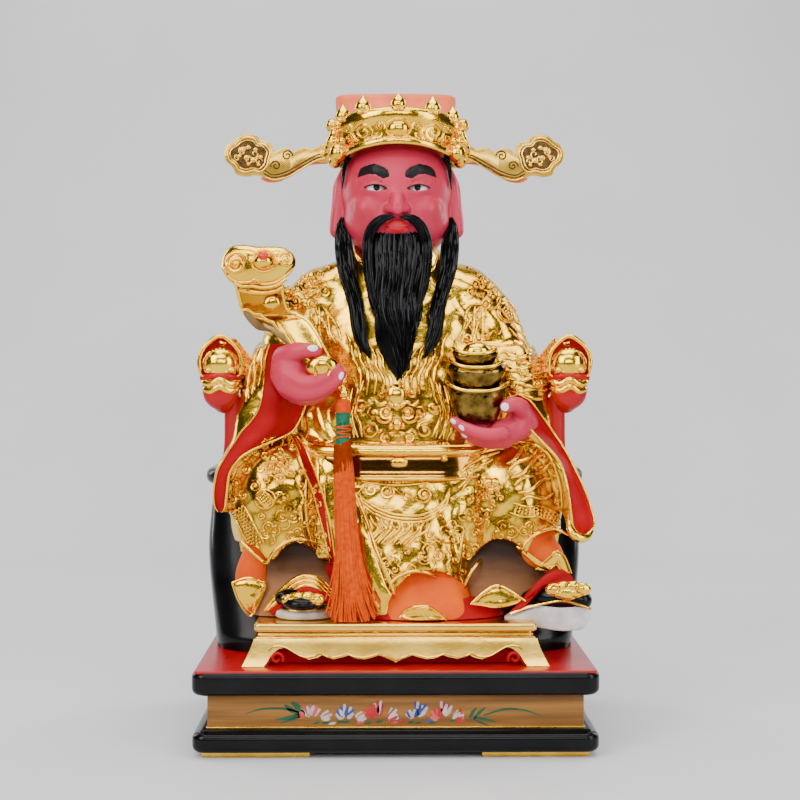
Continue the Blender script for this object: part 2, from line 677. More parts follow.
def hand_worked(shape, depth):
    """A cast surface with the slow unevenness of hand work."""
    points, faces = shape
    t = triangles(faces)
    face_way = np.cross(points[t[:, 1]] - points[t[:, 0]], points[t[:, 2]] - points[t[:, 0]])
    way = np.zeros_like(points)
    for corner in range(3):
        np.add.at(way, t[:, corner], face_way)
    way /= np.linalg.norm(way, axis=1)[:, None] + 1e-9
    x, y, z = points.T
    swell = (np.sin(x / 5.3 + 1.4 * np.sin(z / 8.1) + y / 6) + np.sin(z / 4.6 + 1.2 * np.sin(x / 9.3) - y / 7)
             + 0.6 * np.sin((x + z) / 3.1 + np.sin(x / 5)) + 0.6 * np.sin((x - z) / 2.9 + np.sin(z / 6)))
    return points + way * (depth / 2.5 * swell)[:, None], faces


def back_fold(x):
    """A fold that runs down the back from a place across the shoulders."""
    line = [[x, 34, 232], [1.1 * x, 34.5, 200], [1.25 * x + 2, 35, 165], [1.35 * x + 3, 37, 128]]
    return tube(to_row(np.array(line)), [1.0, 3.6, 4.2, 3.0], 12, samples=40)


ridges = [fold_ridge(*fold) for fold in FOLDS] + [back_fold(x) for x in (-46, -27, -8, 12, 31, 48)]
robe = hand_worked(smoothed(robe_cast(robe_forms + ridges, 1.5), 2), 0.55)
robe_skin = BVHTree.FromPolygons(robe[0].tolist(), robe[1])
robe_piece = show("robe", robe, GOLD, replaces=["figure"], angle=70, keep=0.58)


# Relief of the robe, laid out by picture points on its surface


def on_robe(points, samples, lift, jump=7.0):
    """A line of picture points laid on the robe; the longest run that stays on it."""
    runs = [[]]
    for px, py in open_line(points, samples):
        spot, _ = on_skin(px, py, lift, fallback=np.nan)
        if np.isnan(spot).any() or (py > 540 and spot[1] > -42):
            runs.append([])
            continue
        if runs[-1] and np.linalg.norm(spot - runs[-1][-1]) > jump:
            runs.append([])
        runs[-1].append(spot)
    return max(runs, key=len)

RELIEF_SPOTS = []
BOLDNESS = 1.3


def stroke(points, radius=0.6, ends=0.4, lift=0.3):
    length = np.sum(np.linalg.norm(np.diff(np.array(points, float), axis=0), axis=1))
    line = on_robe(points, int(np.clip(length / 1.5, 7, 60)), lift)
    if len(line) < 4:
        return []
    radius *= BOLDNESS
    RELIEF_SPOTS.extend((spot, radius) for spot in line)
    return [tube(line, radius * tapered(len(line), [0, 0.15, 0.85, 1], [ends, 1, 1, ends]), 6)]


def bead(px, py, radius, tall=0.75):
    spot, _ = on_skin(px, py, 0.0, fallback=np.nan)
    if np.isnan(spot).any():
        return []
    RELIEF_SPOTS.append((spot, radius))
    return [knob(spot, [radius, radius * tall, radius], 14, 8)]


def beads(points, count, radius):
    return sum([bead(px, py, radius) for px, py in open_line(points, count)], [])


def spiral(cx, cy, reach, start, turns, hand=1, tail=()):
    """Picture points of a curl that opens to its rim at start degrees, then runs on through a tail."""
    share = np.linspace(0, 1, int(9 * turns) + 5)
    angle = math.radians(start) + hand * 2 * math.pi * turns * (share - 1)
    grow = reach * (0.14 + 0.86 * share)
    return [(cx + r * math.cos(a), cy - r * math.sin(a)) for r, a in zip(grow, angle)] + list(tail)


def curl(cx, cy, reach, start=90, turns=1.3, hand=1, tail=(), radius=0.6, heart=True):
    parts = stroke(spiral(cx, cy, reach, start, turns, hand, tail), radius)
    return parts + (bead(cx, cy, 0.2 * reach) if heart else [])


def ring(cx, cy, reach, radius=0.6):
    angle = np.linspace(0, 2 * math.pi, 26)
    return stroke([(cx + reach * math.cos(a), cy + reach * math.sin(a)) for a in angle], radius, ends=1)


def placed(points, cx, cy, size, turn=0.0):
    """Points drawn about nought, right and up, set into the picture."""
    a = math.radians(turn)
    return [(cx + size * (u * math.cos(a) - v * math.sin(a)), cy - size * (u * math.sin(a) + v * math.cos(a)))
            for u, v in points]


def cloud(cx, cy, size, turn=0.0, tail=True):
    parts = []
    for side in (-1, 1):
        rim = [(side * 0.06, -0.30), (side * 0.45, -0.50), (side * 0.92, -0.36), (side * 1.04, 0.06),
               (side * 0.78, 0.40), (side * 0.42, 0.36)]
        parts += stroke(placed(rim, cx, cy, size, turn), 0.62)
        inner = [(side * 0.42 + side * 0.30 * r * math.cos(a), -0.04 + 0.30 * r * math.sin(a))
                 for r, a in zip(np.linspace(0.15, 1, 12), np.linspace(-1.0, 7.2, 12))]
        parts += stroke(placed(inner, cx, cy, size, turn), 0.55)
    parts += stroke(placed([(-0.42, 0.36), (-0.52, 0.72), (-0.2, 1.04), (0.2, 1.04), (0.52, 0.72),
                            (0.42, 0.36)], cx, cy, size, turn), 0.62)
    parts += stroke(placed([(-0.18, 0.40), (-0.2, 0.68), (0.05, 0.80), (0.2, 0.62), (0.06, 0.48)],
                           cx, cy, size, turn), 0.5)
    if tail:
        parts += stroke(placed([(0.05, -0.30), (0.22, -0.75), (-0.08, -1.15), (-0.5, -1.2)],
                               cx, cy, size, turn), 0.6)
    return parts


def plum(cx, cy, size, petals=range(5), turn=90):
    parts = ring(cx, cy, 0.2 * size, 0.5) + bead(cx, cy, 0.16 * size)
    for k in petals:
        away = math.radians(turn + 72 * k)
        mx, my = 0.62 * math.cos(away), 0.62 * math.sin(away)
        arc = [(mx + 0.38 * math.cos(away + a), my + 0.38 * math.sin(away + a))
               for a in np.linspace(-2.25, 2.25, 12)]
        parts += stroke(placed(arc, cx, cy, size), 0.62)
        parts += stroke(placed([(0.26 * math.cos(away), 0.26 * math.sin(away)), (mx, my)], cx, cy, size), 0.4)
    return parts


def strands(roots, mids, tips, count, radius=0.55, sway=0.0):
    """Strokes side by side from one line of the picture over a second to a third."""
    parts = []
    rails = [open_line(line, count) for line in (roots, mids, tips)]
    for k in range(count):
        a, b, c = rails[0][k], rails[1][k], rails[2][k]
        side = np.array([b[1] - a[1], a[0] - b[0]])
        side = side / (np.linalg.norm(side) + 1e-9) * sway * (1 if k % 2 else -1)
        parts += stroke([a, (a + b) / 2 + side, b, (b + c) / 2 - side, c], radius)
    return parts


def scales(points, half, count, rows=3, radius=0.45):
    """A scaled body along a line: two edges and rows of small arcs between them."""
    line = open_line(points, count)
    way = np.gradient(line, axis=0)
    way /= np.linalg.norm(way, axis=1)[:, None] + 1e-9
    across = np.stack([-way[:, 1], way[:, 0]], -1)
    parts = stroke(line + across * half, 0.6) + stroke(line - across * half, 0.6)
    step = 2 * half / rows
    for i in range(1, count - 1):
        for j in range(rows):
            shift = -half + step * (j + 0.5 + (0.5 if i % 2 and j < rows - 1 else 0))
            middle = line[i] + across[i] * shift
            arc = [middle + across[i] * step * 0.5 * math.sin(a) + way[i] * step * 0.6 * math.cos(a)
                   for a in np.linspace(-1.5, 1.5, 7)]
            parts += stroke(arc, radius, ends=0.7)
    return parts


def beast(cx, cy, size, turn=0.0, mane=7, spread=(35, 325)):
    """A small guardian beast's face with knobs and curls."""
    def put(u, v):
        return placed([(u, v)], cx, cy, size, turn)[0]
    parts = bead(*put(0, 0.50), 0.26 * size, 0.9) + bead(*put(0, -0.20), 0.20 * size, 1.0)
    for side in (-1, 1):
        parts += bead(*put(side * 0.36, 0.16), 0.13 * size, 1.0)
        parts += ring(*put(side * 0.36, 0.16), 0.23 * size, 0.45)
        parts += bead(*put(side * 0.17, -0.30), 0.12 * size, 1.0)
        brow = [(side * 0.10, 0.36), (side * 0.38, 0.52), (side * 0.72, 0.36)]
        parts += stroke(placed(brow, cx, cy, size, turn), 0.75)
        cheek = put(side * 0.62, -0.18)
        parts += curl(*cheek, 0.22 * size, 90, 1.2, side, radius=0.5)
        jaw = put(side * 0.30, -0.82)
        parts += curl(*jaw, 0.20 * size, 90, 1.1, -side, radius=0.5)
    parts += stroke(placed([(-0.55, -0.42), (-0.25, -0.58), (0, -0.52), (0.25, -0.58), (0.55, -0.42)],
                           cx, cy, size, turn), 0.6)
    parts += beads(placed([(-0.3, -0.66), (0, -0.63), (0.3, -0.66)], cx, cy, size, turn), 4, 0.07 * size)
    for k, angle in enumerate(np.linspace(*spread, mane)):
        a = math.radians(angle - 90 + 180)
        spot = put(1.06 * math.cos(a), 1.02 * math.sin(a))
        parts += curl(*spot, (0.26 + 0.05 * (k % 2)) * size, angle + turn, 1.25, 1 if k % 2 else -1)
    return parts


def curls(table, radius=0.6):
    parts = []
    for k, (cx, cy, reach, start, hand) in enumerate(table):
        parts += curl(cx, cy, reach, start, 1.25 + 0.15 * (k % 3), hand, radius=radius)
    return parts


def upper_relief():
    parts = beast(310, 283, 13.5, -14) + beast(490, 283, 13.5, 14)
    for side, mid in ((-1, 397), (1, 401)):
        def x(offset):
            return mid + side * offset
        parts += curl(x(69), 266, 6, -90, 1.4, -side, [(x(77), 277), (x(80), 284)], 0.8)
        parts += curls([(x(110), 289, 5.4, 60, side), (x(101), 301, 5.6, 200, side),
                        (x(84), 304, 5.6, 250, -side),
                        (x(71), 292, 5.2, 180, side)], 0.8)
        parts += strands([(x(86), 308), (x(70), 306)], [(x(82), 326), (x(64), 320)],
                         [(x(77), 352), (x(56), 340)], 5, 0.85, 1.8)
        parts += curls([(x(73), 324, 5.4, 90, side), (x(66), 338, 5.2, 200, -side),
                        (x(84), 336, 5.0, 20, side)], 0.8)
    # rings, chains and waves of the right shoulder
    parts += ring(509, 311, 11.5) + ring(509, 311, 9.6, 0.45)
    parts += scales([(503, 304), (509, 311), (514, 318)], 5.5, 7, 4)
    parts += stroke([(482, 303), (487, 309), (495, 308), (501, 301), (507, 298), (513, 300)], 0.7)
    parts += stroke([(488, 338), (493, 331), (499, 334), (502, 329)], 0.6)
    parts += beads([(512, 325), (518, 331), (525, 336), (531, 345)], 10, 1.3)
    parts += stroke([(509, 328), (516, 336), (524, 342), (529, 350)]) + stroke(
        [(515, 321), (522, 326), (529, 331), (534, 340)])
    # clouds of the left arm
    parts += cloud(283, 309, 8, 25) + cloud(276, 327, 7, 10, False)
    parts += stroke([(262, 318), (272, 312), (286, 322), (300, 322)], 0.6)
    # flowing hair under the beard
    for side in (-1, 1):
        def w(offset):
            return 397 + side * offset
        for k in range(5):
            d = 7.8 * k
            parts += stroke([(w(7 + d), 392 + k), (w(6 + d), 380 - 2 * k), (w(13 + d), 369 - 3 * k),
                             (w(14 + d), 358 - 3.6 * k), (w(20 + d), 349 - 4 * k)], 1.15)
    # the dragon of the chest
    def face(u, v):
        return 397 + u, 413 - v
    parts += bead(*face(-1, 18), 8.2, 0.5) + bead(*face(0, -11), 4.6, 0.9) + bead(*face(0, 7), 3.4, 0.8)
    for side in (-1, 1):
        parts += bead(*face(side * 11, 0), 3.2, 1.0) + ring(*face(side * 11, 0), 5.4, 0.8)
        parts += bead(*face(side * 5.6, -13), 2.6, 0.9)
        for points, radius in [([(3, 5), (9, 11), (17, 8), (22, 13)], 1.5),
                               ([(5, -4), (10, -9), (17, -8), (21, -2)], 1.1),
                               ([(2, -19), (9, -21), (15, -17), (19, -20)], 1.2)]:
            parts += stroke([face(side * u, v) for u, v in points], radius)
        parts += curls([(*face(side * 23, 0), 6.6, 120, side), (*face(side * 28, -17), 9.0, 60, -side),
                        (*face(side * 12, -25), 5.2, 90, side), (*face(side * 36, 6), 7.0, 45, side),
                        (*face(side * 16, 20), 5.4, 90, -side)], 1.0)
    parts += beads([(389, 434), (397, 436), (405, 434)], 6, 1.3)
    # fur beside it, then fur and feathers beside the arms of the throne
    for roots, mids, tips, count, radius, sway in [
            ([(432, 437), (447, 440)], [(441, 412), (453, 418)], [(430, 378), (449, 388)], 5, 1.0, 1.4),
            ([(362, 437), (350, 438)], [(355, 412), (346, 418)], [(364, 380), (347, 392)], 4, 1.0, 1.4),
            ([(268, 345), (252, 352)], [(262, 362), (247, 372)], [(258, 386), (246, 402)], 5, 1.0, 1.6),
            ([(505, 352), (508, 398)], [(522, 358), (526, 396)], [(543, 352), (546, 398)], 8, 1.1, 2.0)]:
        parts += strands(roots, mids, tips, count, radius, sway)
    parts += curls([(512, 357, 5, 90, 1), (522, 372, 5, 0, -1), (514, 386, 5, 180, 1), (534, 362, 5, 90, -1),
                    (537, 384, 5, 45, 1)])
    return parts


def lap_relief():
    parts = beads([(345, 474), (370, 480), (398, 482.5), (425, 480), (452, 472)], 34, 1.05)
    parts += stroke([(343, 477), (370, 483), (398, 485.5), (425, 483), (454, 475)], 0.5)
    parts += curl(387, 492, 7.5, 60, 1.9, 1, [(396, 490), (402, 496)], 0.75)
    parts += curl(371, 490, 6, 120, 1.6, -1, [(363, 488), (357, 494)], 0.7)
    parts += curl(424, 495, 8.5, 200, 1.9, -1, [(440, 492), (447, 486)], 0.85)
    parts += curl(407, 497, 4.6, 90, 1.4, 1, [(398, 500)], 0.7) + beads([(362, 500), (376, 507), (392, 508)],
                                                                        10, 1.1)
    for k in range(3):
        d = 3.4 * k
        parts += stroke([(357, 493 + d), (372, 506 + d), (396, 515 + d), (424, 515 + d), (443, 503 + d),
                         (450, 488 + d)], 0.75)
    parts += strands([(370, 516), (430, 524)], [(378, 528), (424, 533)], [(366, 543), (408, 545)], 12, 0.85,
                     1.2)
    parts += plum(452, 533, 12) + plum(469, 519, 10, (0, 1, 4))
    parts += cloud(431, 557, 12.5, 12) + cloud(391, 567, 11, -32) + cloud(471, 552, 9, 38, False)
    parts += cloud(412, 574, 8, 4, False) + cloud(446, 581, 7, -20, False)
    parts += curls([(376, 552, 4.6, 90, 1), (408, 552, 4.6, 0, -1), (455, 560, 4.6, 90, 1),
                    (463, 572, 4.2, 200, -1),
                    (440, 516, 4.2, 90, 1), (384, 583, 4.4, 180, 1), (430, 536, 4.2, 270, -1),
                    (369, 536, 3.6, 90, -1), (397, 556, 3.6, 200, 1)])
    parts += stroke([(446, 546), (451, 556), (447, 567), (452, 577)], 0.7)
    parts += stroke([(420, 541), (428, 545), (436, 541), (442, 545)], 0.6)
    for shift in (0, 3.2):
        parts += stroke([(356 + shift, 492), (364 + shift, 520), (378 + shift, 560), (399 + shift, 604)],
                        0.65)
    # the sitter's right knee
    parts += beast(492, 488, 13, -30, 6, (60, 250))
    parts += strands([(507, 464), (513, 482), (522, 500)], [(520, 453), (532, 470), (538, 498)],
                     [(530, 444), (548, 458), (553, 494)], 6, 1.15, 2.4)
    parts += scales([(512, 508), (525, 512), (540, 512), (554, 518), (567, 530)], 5.2, 17, 3)
    parts += cloud(506, 534, 12, 18) + cloud(529, 532, 9, -14, False) + cloud(483, 517, 9, 40)
    parts += curls([(470, 500, 4.6, 90, 1), (476, 533, 4.4, 0, -1), (490, 546, 4.6, 90, 1),
                    (545, 536, 4.6, 90, -1),
                    (560, 540, 3.8, 0, 1), (470, 474, 4.6, 45, -1), (520, 545, 3.6, 90, 1),
                    (558, 502, 3.6, 90, -1),
                    (492, 508, 4, 90, 1)])
    parts += strands([(452, 480), (462, 492)], [(468, 466), (472, 478)], [(500, 452), (480, 474)], 4, 0.9,
                     1.2)
    parts += stroke([(505, 447), (526, 442), (543, 449), (554, 464), (561, 486), (563, 508)], 0.9)
    # the sitter's left knee
    parts += beast(276, 467, 15, 16, 7, (30, 330))
    parts += curls([(246, 470, 5, 90, 1), (236, 483, 5, 0, -1), (255, 486, 6, 120, 1),
                    (244, 495, 5.4, 60, -1),
                    (233, 500, 4.2, 90, 1), (256, 452, 4.6, 90, -1), (245, 458, 4.2, 180, 1),
                    (292, 447, 4.6, 90, 1), (302, 472, 4.0, 0, -1), (301, 487, 4.0, 90, 1),
                    (264, 442, 4, 90, 1)], 0.7)
    parts += ring(265, 499, 9.5, 0.7) + ring(265, 499, 6, 0.5)
    parts += scales([(259, 493), (265, 499), (271, 506)], 5, 7, 4)
    parts += scales([(236, 506), (243, 518), (250, 532), (258, 546)], 7, 16, 4)
    parts += strands([(262, 444), (300, 450)], [(270, 438), (296, 441)], [(282, 434), (298, 437)], 5, 0.8,
                     0.8)
    parts += cloud(288, 516, 11.5, -6) + cloud(270, 532, 9.5, 22) + cloud(296, 537, 8.5, -16, False)
    parts += cloud(252, 551, 7, 30, False) + cloud(281, 499, 7, 30, False)
    parts += curls([(303, 503, 4, 90, 1), (283, 548, 4, 0, 1), (262, 516, 4, 90, -1), (305, 524, 4, 180, -1)])
    for cx, cy, reach in [(317, 490, 5.5), (314, 505, 6.5), (315, 522, 6), (321, 536, 5.5), (325, 550, 4.6)]:
        parts += cloud(cx, cy, reach, 8, False)
    parts += stroke([(306, 478), (305, 500), (307, 525), (314, 552)], 0.7)
    parts += stroke([(324, 484), (325, 505), (328, 528), (331, 548)], 0.6)
    return parts


show("relief_upper", upper_relief(), GOLD, angle=60)
show("relief_lower", lap_relief(), GOLD, angle=60)


def darken_recesses(piece, spots):
    """Marks the cloth close beside the raised strokes, where the leaf is worn and dark."""
    mesh = piece.data
    tree = KDTree(len(spots))
    for k, (spot, _) in enumerate(spots):
        tree.insert(spot, k)
    tree.balance()
    marks = []
    for vertex in mesh.vertices:
        _, k, gap = tree.find(vertex.co * 1000)
        reach = spots[k][1]
        marks.append(float(np.clip(1 - (gap - reach - 0.2) / 2.2, 0, 1)))
    mesh.attributes.new("recess", "FLOAT", "POINT").data.foreach_set("value", marks)


darken_recesses(robe_piece, RELIEF_SPOTS)


# Plinth

PLINTH_WIDE = 142.0
PLINTH_DEEP = 106.0
PANEL_INSET = 10.6


def plinth():
    def level(inset, low, high, *rounding):
        return board(PLINTH_WIDE - inset, -PLINTH_DEEP + inset, PLINTH_DEEP - inset, low, high, *rounding)

    def block(inset, low, high, edge):
        return box(-PLINTH_WIDE + inset, PLINTH_WIDE - inset, -PLINTH_DEEP + inset, PLINTH_DEEP - inset,
                   low, high, edge)
    show("plinth_base", level(0.2, 3.8, 17.9, 5, 4.8), BLACK, replaces=["plinth"])
    show("plinth_step", block(6, 16.5, 19.5, 1.0), BLACK)
    show("plinth_panel", block(PANEL_INSET, 19, 45, 0.8), OCHRE)
    show("plinth_gold_line", block(9.8, 19.4, 20.8, 0.5), PALE_GOLD)
    show("plinth_top", level(0, 43.6, PLINTH_TOP - 0.3, 5, 4.9), BLACK)
    show("plinth_red_face", level(2.0, PLINTH_TOP - 2.2, PLINTH_TOP, 3, 0.9), RED)
    feet = []
    for side in (LEFT, RIGHT):
        for end in (LEFT, RIGHT):
            x0, x1 = sorted([side * (PLINTH_WIDE - 7), side * (PLINTH_WIDE - 82)])
            y0, y1 = sorted([end * (PLINTH_DEEP - 7), end * (PLINTH_DEEP - 59)])
            feet.append(box(x0, x1, y0, y1, 0, 4.8, 0.5))
    show("plinth_feet", feet, PALE_GOLD)


def painted_stroke(points, widths, lift=0.12, samples=14):
    """A brush stroke on the front panel, as a thin film with soft ends; points are picture points."""
    front = -PLINTH_DEEP + PANEL_INSET
    line = open_line([at(px, py, front) for px, py in points], samples)
    line[:, 1] = front - lift
    heading = np.gradient(line, axis=0)
    heading /= np.linalg.norm(heading, axis=1)[:, None]
    aside = np.stack([-heading[:, 2], np.zeros(samples), heading[:, 0]], -1)
    aside *= tapered(samples, np.linspace(0, 1, len(widths)), widths)[:, None]
    film = np.array([0, 0.4, 0])
    return facing_out(lofted(np.stack([line + aside, line - aside, line - aside + film, line + aside + film],
                                      1)))


def flowers():
    rng = np.random.default_rng(7)
    blades = [
        ([(244, 715), (262, 710), (285, 710), (300, 714)], [0.2, 0.7, 0.9, 0.5]),
        ([(284, 706), (291, 711), (300, 716)], [0.7, 1.9, 0.8]),
        ([(291, 703.5), (297, 708), (300, 715)], [0.9, 2.2, 0.9]),
        ([(275, 721), (288, 719), (302, 715)], [0.3, 1.5, 0.9]),
        ([(280, 724), (291, 721), (302, 717)], [0.3, 0.9, 0.5]),
        ([(546, 719), (525, 712), (505, 711), (484, 717)], [0.2, 0.7, 0.9, 0.6]),
        ([(477, 709), (473, 714), (470, 720)], [0.4, 1.3, 0.8]),
        ([(486, 709), (480, 714), (474, 720)], [0.4, 1.2, 0.8]),
        ([(497, 724), (486, 721), (475, 719)], [0.3, 1.1, 0.7]),
        ([(490, 728), (481, 724), (473, 720)], [0.3, 0.8, 0.5]),
    ]
    show("painted_leaves", [painted_stroke(p, w) for p, w in blades], LEAF_GREEN)
    fans = [
        (311, 720, -48, 42, 7, 15.5, PETAL_PINK, PETAL_WHITE),
        (318, 721, 48, 86, 5, 17, PETAL_PINK, PETAL_WHITE),
        (304, 719, -80, -20, 4, 8, PETAL_PINK, PETAL_PINK),
        (345, 721, -58, 52, 9, 14.5, PETAL_BLUE, PETAL_WHITE),
        (354, 721, 46, 84, 5, 14, PETAL_PINK, PETAL_WHITE),
        (376, 721, -62, 34, 8, 16.5, PETAL_RED, PETAL_RED),
        (378, 720, -14, 22, 4, 18, PETAL_RED, PETAL_WHITE), (386, 723, 24, 74, 7, 17, PETAL_RED, PETAL_WHITE),
        (414, 722, -52, 16, 6, 13, PETAL_BLUE, PETAL_WHITE),
        (417, 721, -6, 40, 6, 18, PETAL_WHITE, PETAL_BLUE),
        (441, 722, -70, 20, 8, 14, PETAL_RED, PETAL_PINK),
        (444, 721, -8, 30, 5, 17.5, PETAL_RED, PETAL_WHITE),
        (452, 723, 30, 84, 8, 16, PETAL_RED, PETAL_WHITE),
    ]
    films = {}
    for px, py, low, high, count, reach, strong, pale in fans:
        foot = np.array([px, py], float)
        for k, lean in enumerate(np.linspace(low, high, count)):
            far = reach * (1 - 0.22 * abs(lean) / 90) + rng.uniform(-2.2, 1.4)
            tip = foot + far * np.array([math.sin(math.radians(lean)), -math.cos(math.radians(lean))])
            near = foot + 0.25 * (tip - foot) + rng.uniform(-0.8, 0.8, 2)
            bend = (foot + tip) / 2 + rng.uniform(-1.2, 1.2, 2)
            petal = painted_stroke([near, bend, tip], [0.5, 1.45, 0.8], 0.12 + 0.03 * (k % 3))
            films.setdefault((strong if k % 2 else pale).name, []).append(petal)
    specks = [(316, LEAF_GREEN), (325, LEAF_GREEN), (332, PETAL_WHITE), (340, LEAF_GREEN), (346, LEAF_GREEN),
              (360, PETAL_PINK), (368, LEAF_GREEN), (379, LEAF_GREEN), (395, PETAL_PINK), (402, PETAL_RED),
              (411, LEAF_GREEN), (418, LEAF_GREEN), (429, PETAL_BLUE), (433, LEAF_GREEN), (453, LEAF_GREEN)]
    for x, tint in specks:
        level = 723.5 + rng.uniform(-1.5, 1.5)
        speck = painted_stroke([(x - 3.6, level + 0.8), (x, level), (x + 3.6, level - 0.6)], [0.3, 1.0, 0.4],
                               0.26)
        films.setdefault(tint.name, []).append(speck)
    for name, petals in films.items():
        show("painted_" + name, petals, bpy.data.materials[name])


# Footstool

STOOL_WIDE, STOOL_FRONT, STOOL_BACK = 100.0, -80.0, 38.0
APRON_TALL = 18.2
APRON_FLARE = 8.0
APRON_HALF = 107.5
HOOK_SPAN = 40
HOOK_END = 91.6
APRON_EDGE = [(0, 2.6), (3.5, 4.4), (8.5, 6.0), (12.4, 7.2), (16, 6.0), (22.5, 4.6), (29.5, 5.4), (34, 7.2),
              (38, 6.0), (44.5, 4.8), (49.5, 5.8), (53, 7.4), (56.5, 5.6), (62, 4.5), (67, 5.8), (72, 8.6),
              (77, 11.2), (82, 12.3), (86, 11.6), (89, 9.2), (91, 5.5), (HOOK_END, 0)]


def footstool():
    z = STAND_LEVEL
    top = z + 28.6

    def block(inset, low, high, edge, back_inset=None):
        back = STOOL_BACK - (inset if back_inset is None else back_inset)
        return box(-STOOL_WIDE + inset, STOOL_WIDE - inset, STOOL_FRONT + inset, back, low, high, edge)
    show("footstool_slab", board(STOOL_WIDE, STOOL_FRONT, STOOL_BACK, top - 5.6, top, 1.2, 1.6, 5), SLAB_GOLD,
         replaces=["footstool"])
    show("footstool_waist", block(4, z + 16.5, top - 5, 0.8), GOLD)
    beads = [block(1.2, z + 17.2, z + 19.2, 0.8), block(2.6, z + 20.2, z + 21.4, 0.5)]
    show("footstool_beads", beads, SLAB_GOLD)
    show("footstool_recess", block(6, z, z + 17, 0.8, back_inset=4), LINING)
    show("footstool_apron", [apron(side) for side in range(4)], SLAB_GOLD)


def apron_edge(share, half):
    """Height of the apron's lower edge at a share of its length: lobes, then a hook beside each foot."""
    reach = abs(2 * share - 1) * half
    from_end = half - reach
    if from_end < HOOK_SPAN:
        place = APRON_HALF - from_end
    else:
        place = (reach / max(half - HOOK_SPAN, 1)) * (APRON_HALF - HOOK_SPAN)
    xs, zs = zip(*APRON_EDGE)
    return float(np.interp(place, xs, zs)) if place < HOOK_END else 0.0


def apron_out(height):
    """How far the apron stands out from the waist at a height."""
    return APRON_FLARE * (1 - height / APRON_TALL) ** 2 + 1.5 * math.sin(math.pi * height / APRON_TALL)


def apron(side):
    """The flared wall under the waist on one of four sides, with its lower edge cut in lobes."""
    length = STOOL_WIDE + APRON_FLARE if side % 2 == 0 else (STOOL_BACK - STOOL_FRONT) / 2 + APRON_FLARE
    grid = []
    for share in (i / 280 for i in range(281)) if side % 2 == 0 else (i / 180 for i in range(181)):
        low = apron_edge(share, length)
        heights = [low + (APRON_TALL - low) * s for s in np.linspace(0, 1, 7)]
        ring = [(share, height, apron_out(height)) for height in heights]
        inner = [(share, height, out - 3.0) for share, height, out in ring[::-1]]
        grid.append([place_on_side(side, *p) for p in ring + inner])
    return facing_out(lofted(np.array(grid)))


def place_on_side(side, share, height, out):
    middle_y = (STOOL_FRONT + STOOL_BACK) / 2
    half_y = (STOOL_BACK - STOOL_FRONT) / 2
    along_x = (2 * share - 1) * (STOOL_WIDE + out)
    along_y = (2 * share - 1) * (half_y + out)
    x, y = [(along_x, middle_y - half_y - out), (STOOL_WIDE + out, middle_y + along_y),
            (-along_x, middle_y + half_y + out), (-STOOL_WIDE - out, middle_y - along_y)][side]
    return [x, y, STAND_LEVEL + height]


def footstool_volutes():
    """The red scroll that curls in the apron's mouth at each foot, and the line along the lobes."""
    z = STAND_LEVEL
    scrolls, lines = [], []
    for side in (LEFT, RIGHT):
        path = []
        for a in np.linspace(-0.5, 2.1 * math.pi, 40):
            r = 4.4 * (1 - a / (2.7 * math.pi))
            path.append([side * (83.5 - r * math.cos(a)), -86.2, z + 5.2 + r * math.sin(a)])
        scrolls.append(tube(path, 1.3, 10))
        edge = []
        for place in np.linspace(0, 89.5, 130):
            height = apron_edge(0.5 + 0.5 * place / 108, 108)
            edge.append([side * place, STOOL_FRONT - apron_out(height) - 0.1, z + height + 1.3])
        lines.append(tube(edge, 0.55, 8))
    show("footstool_scrolls", scrolls, LINING)
    show("footstool_edge_line", lines, GOLD)


# Throne

THRONE_HALF = 144.0
THRONE_BACK = 103.0
SEAT = 135.0
RAIL = 8.5
BACK_WIDE = THRONE_HALF - 33 - RAIL
BACK_FRONT = 20.0
ARM_HEIGHT = 214
BACK_RISE = 38


def raised(shape, level):
    points, faces = shape
    return points + np.array([0, 0, level]), faces


def throne_base():
    def row(share, half, front):
        return [SEAT * share, 0, (THRONE_BACK - front) / 2, half, (THRONE_BACK + front) / 2]
    rows = [row(0, 135, 36), row(0.08, 136, 37), row(0.5, 144, 0), row(0.75, 143, -20),
            row(0.93, 140, -29)]
    return raised(pillar(rows, sides=128, levels=30, square=4.5, local=False), STAND_LEVEL)


def rail_height(y):
    return ARM_HEIGHT + BACK_RISE * (y - BACK_FRONT) / (THRONE_BACK - BACK_FRONT)


def back_plan(angle, inset=0.0):
    return ((BACK_WIDE - inset) * np.cos(angle),
            BACK_FRONT + (THRONE_BACK - BACK_FRONT - RAIL - inset) * np.sin(angle))


def backrest():
    grid = []
    for a in np.linspace(0, math.pi, 90):
        outer, inner = back_plan(a, -4.5), back_plan(a, 4.5)
        top = rail_height(outer[1])
        grid.append([[*outer, SEAT - 1], [*outer, top], [*inner, top], [*inner, SEAT - 1]])
    return raised(facing_out(lofted(np.array(grid))), STAND_LEVEL)


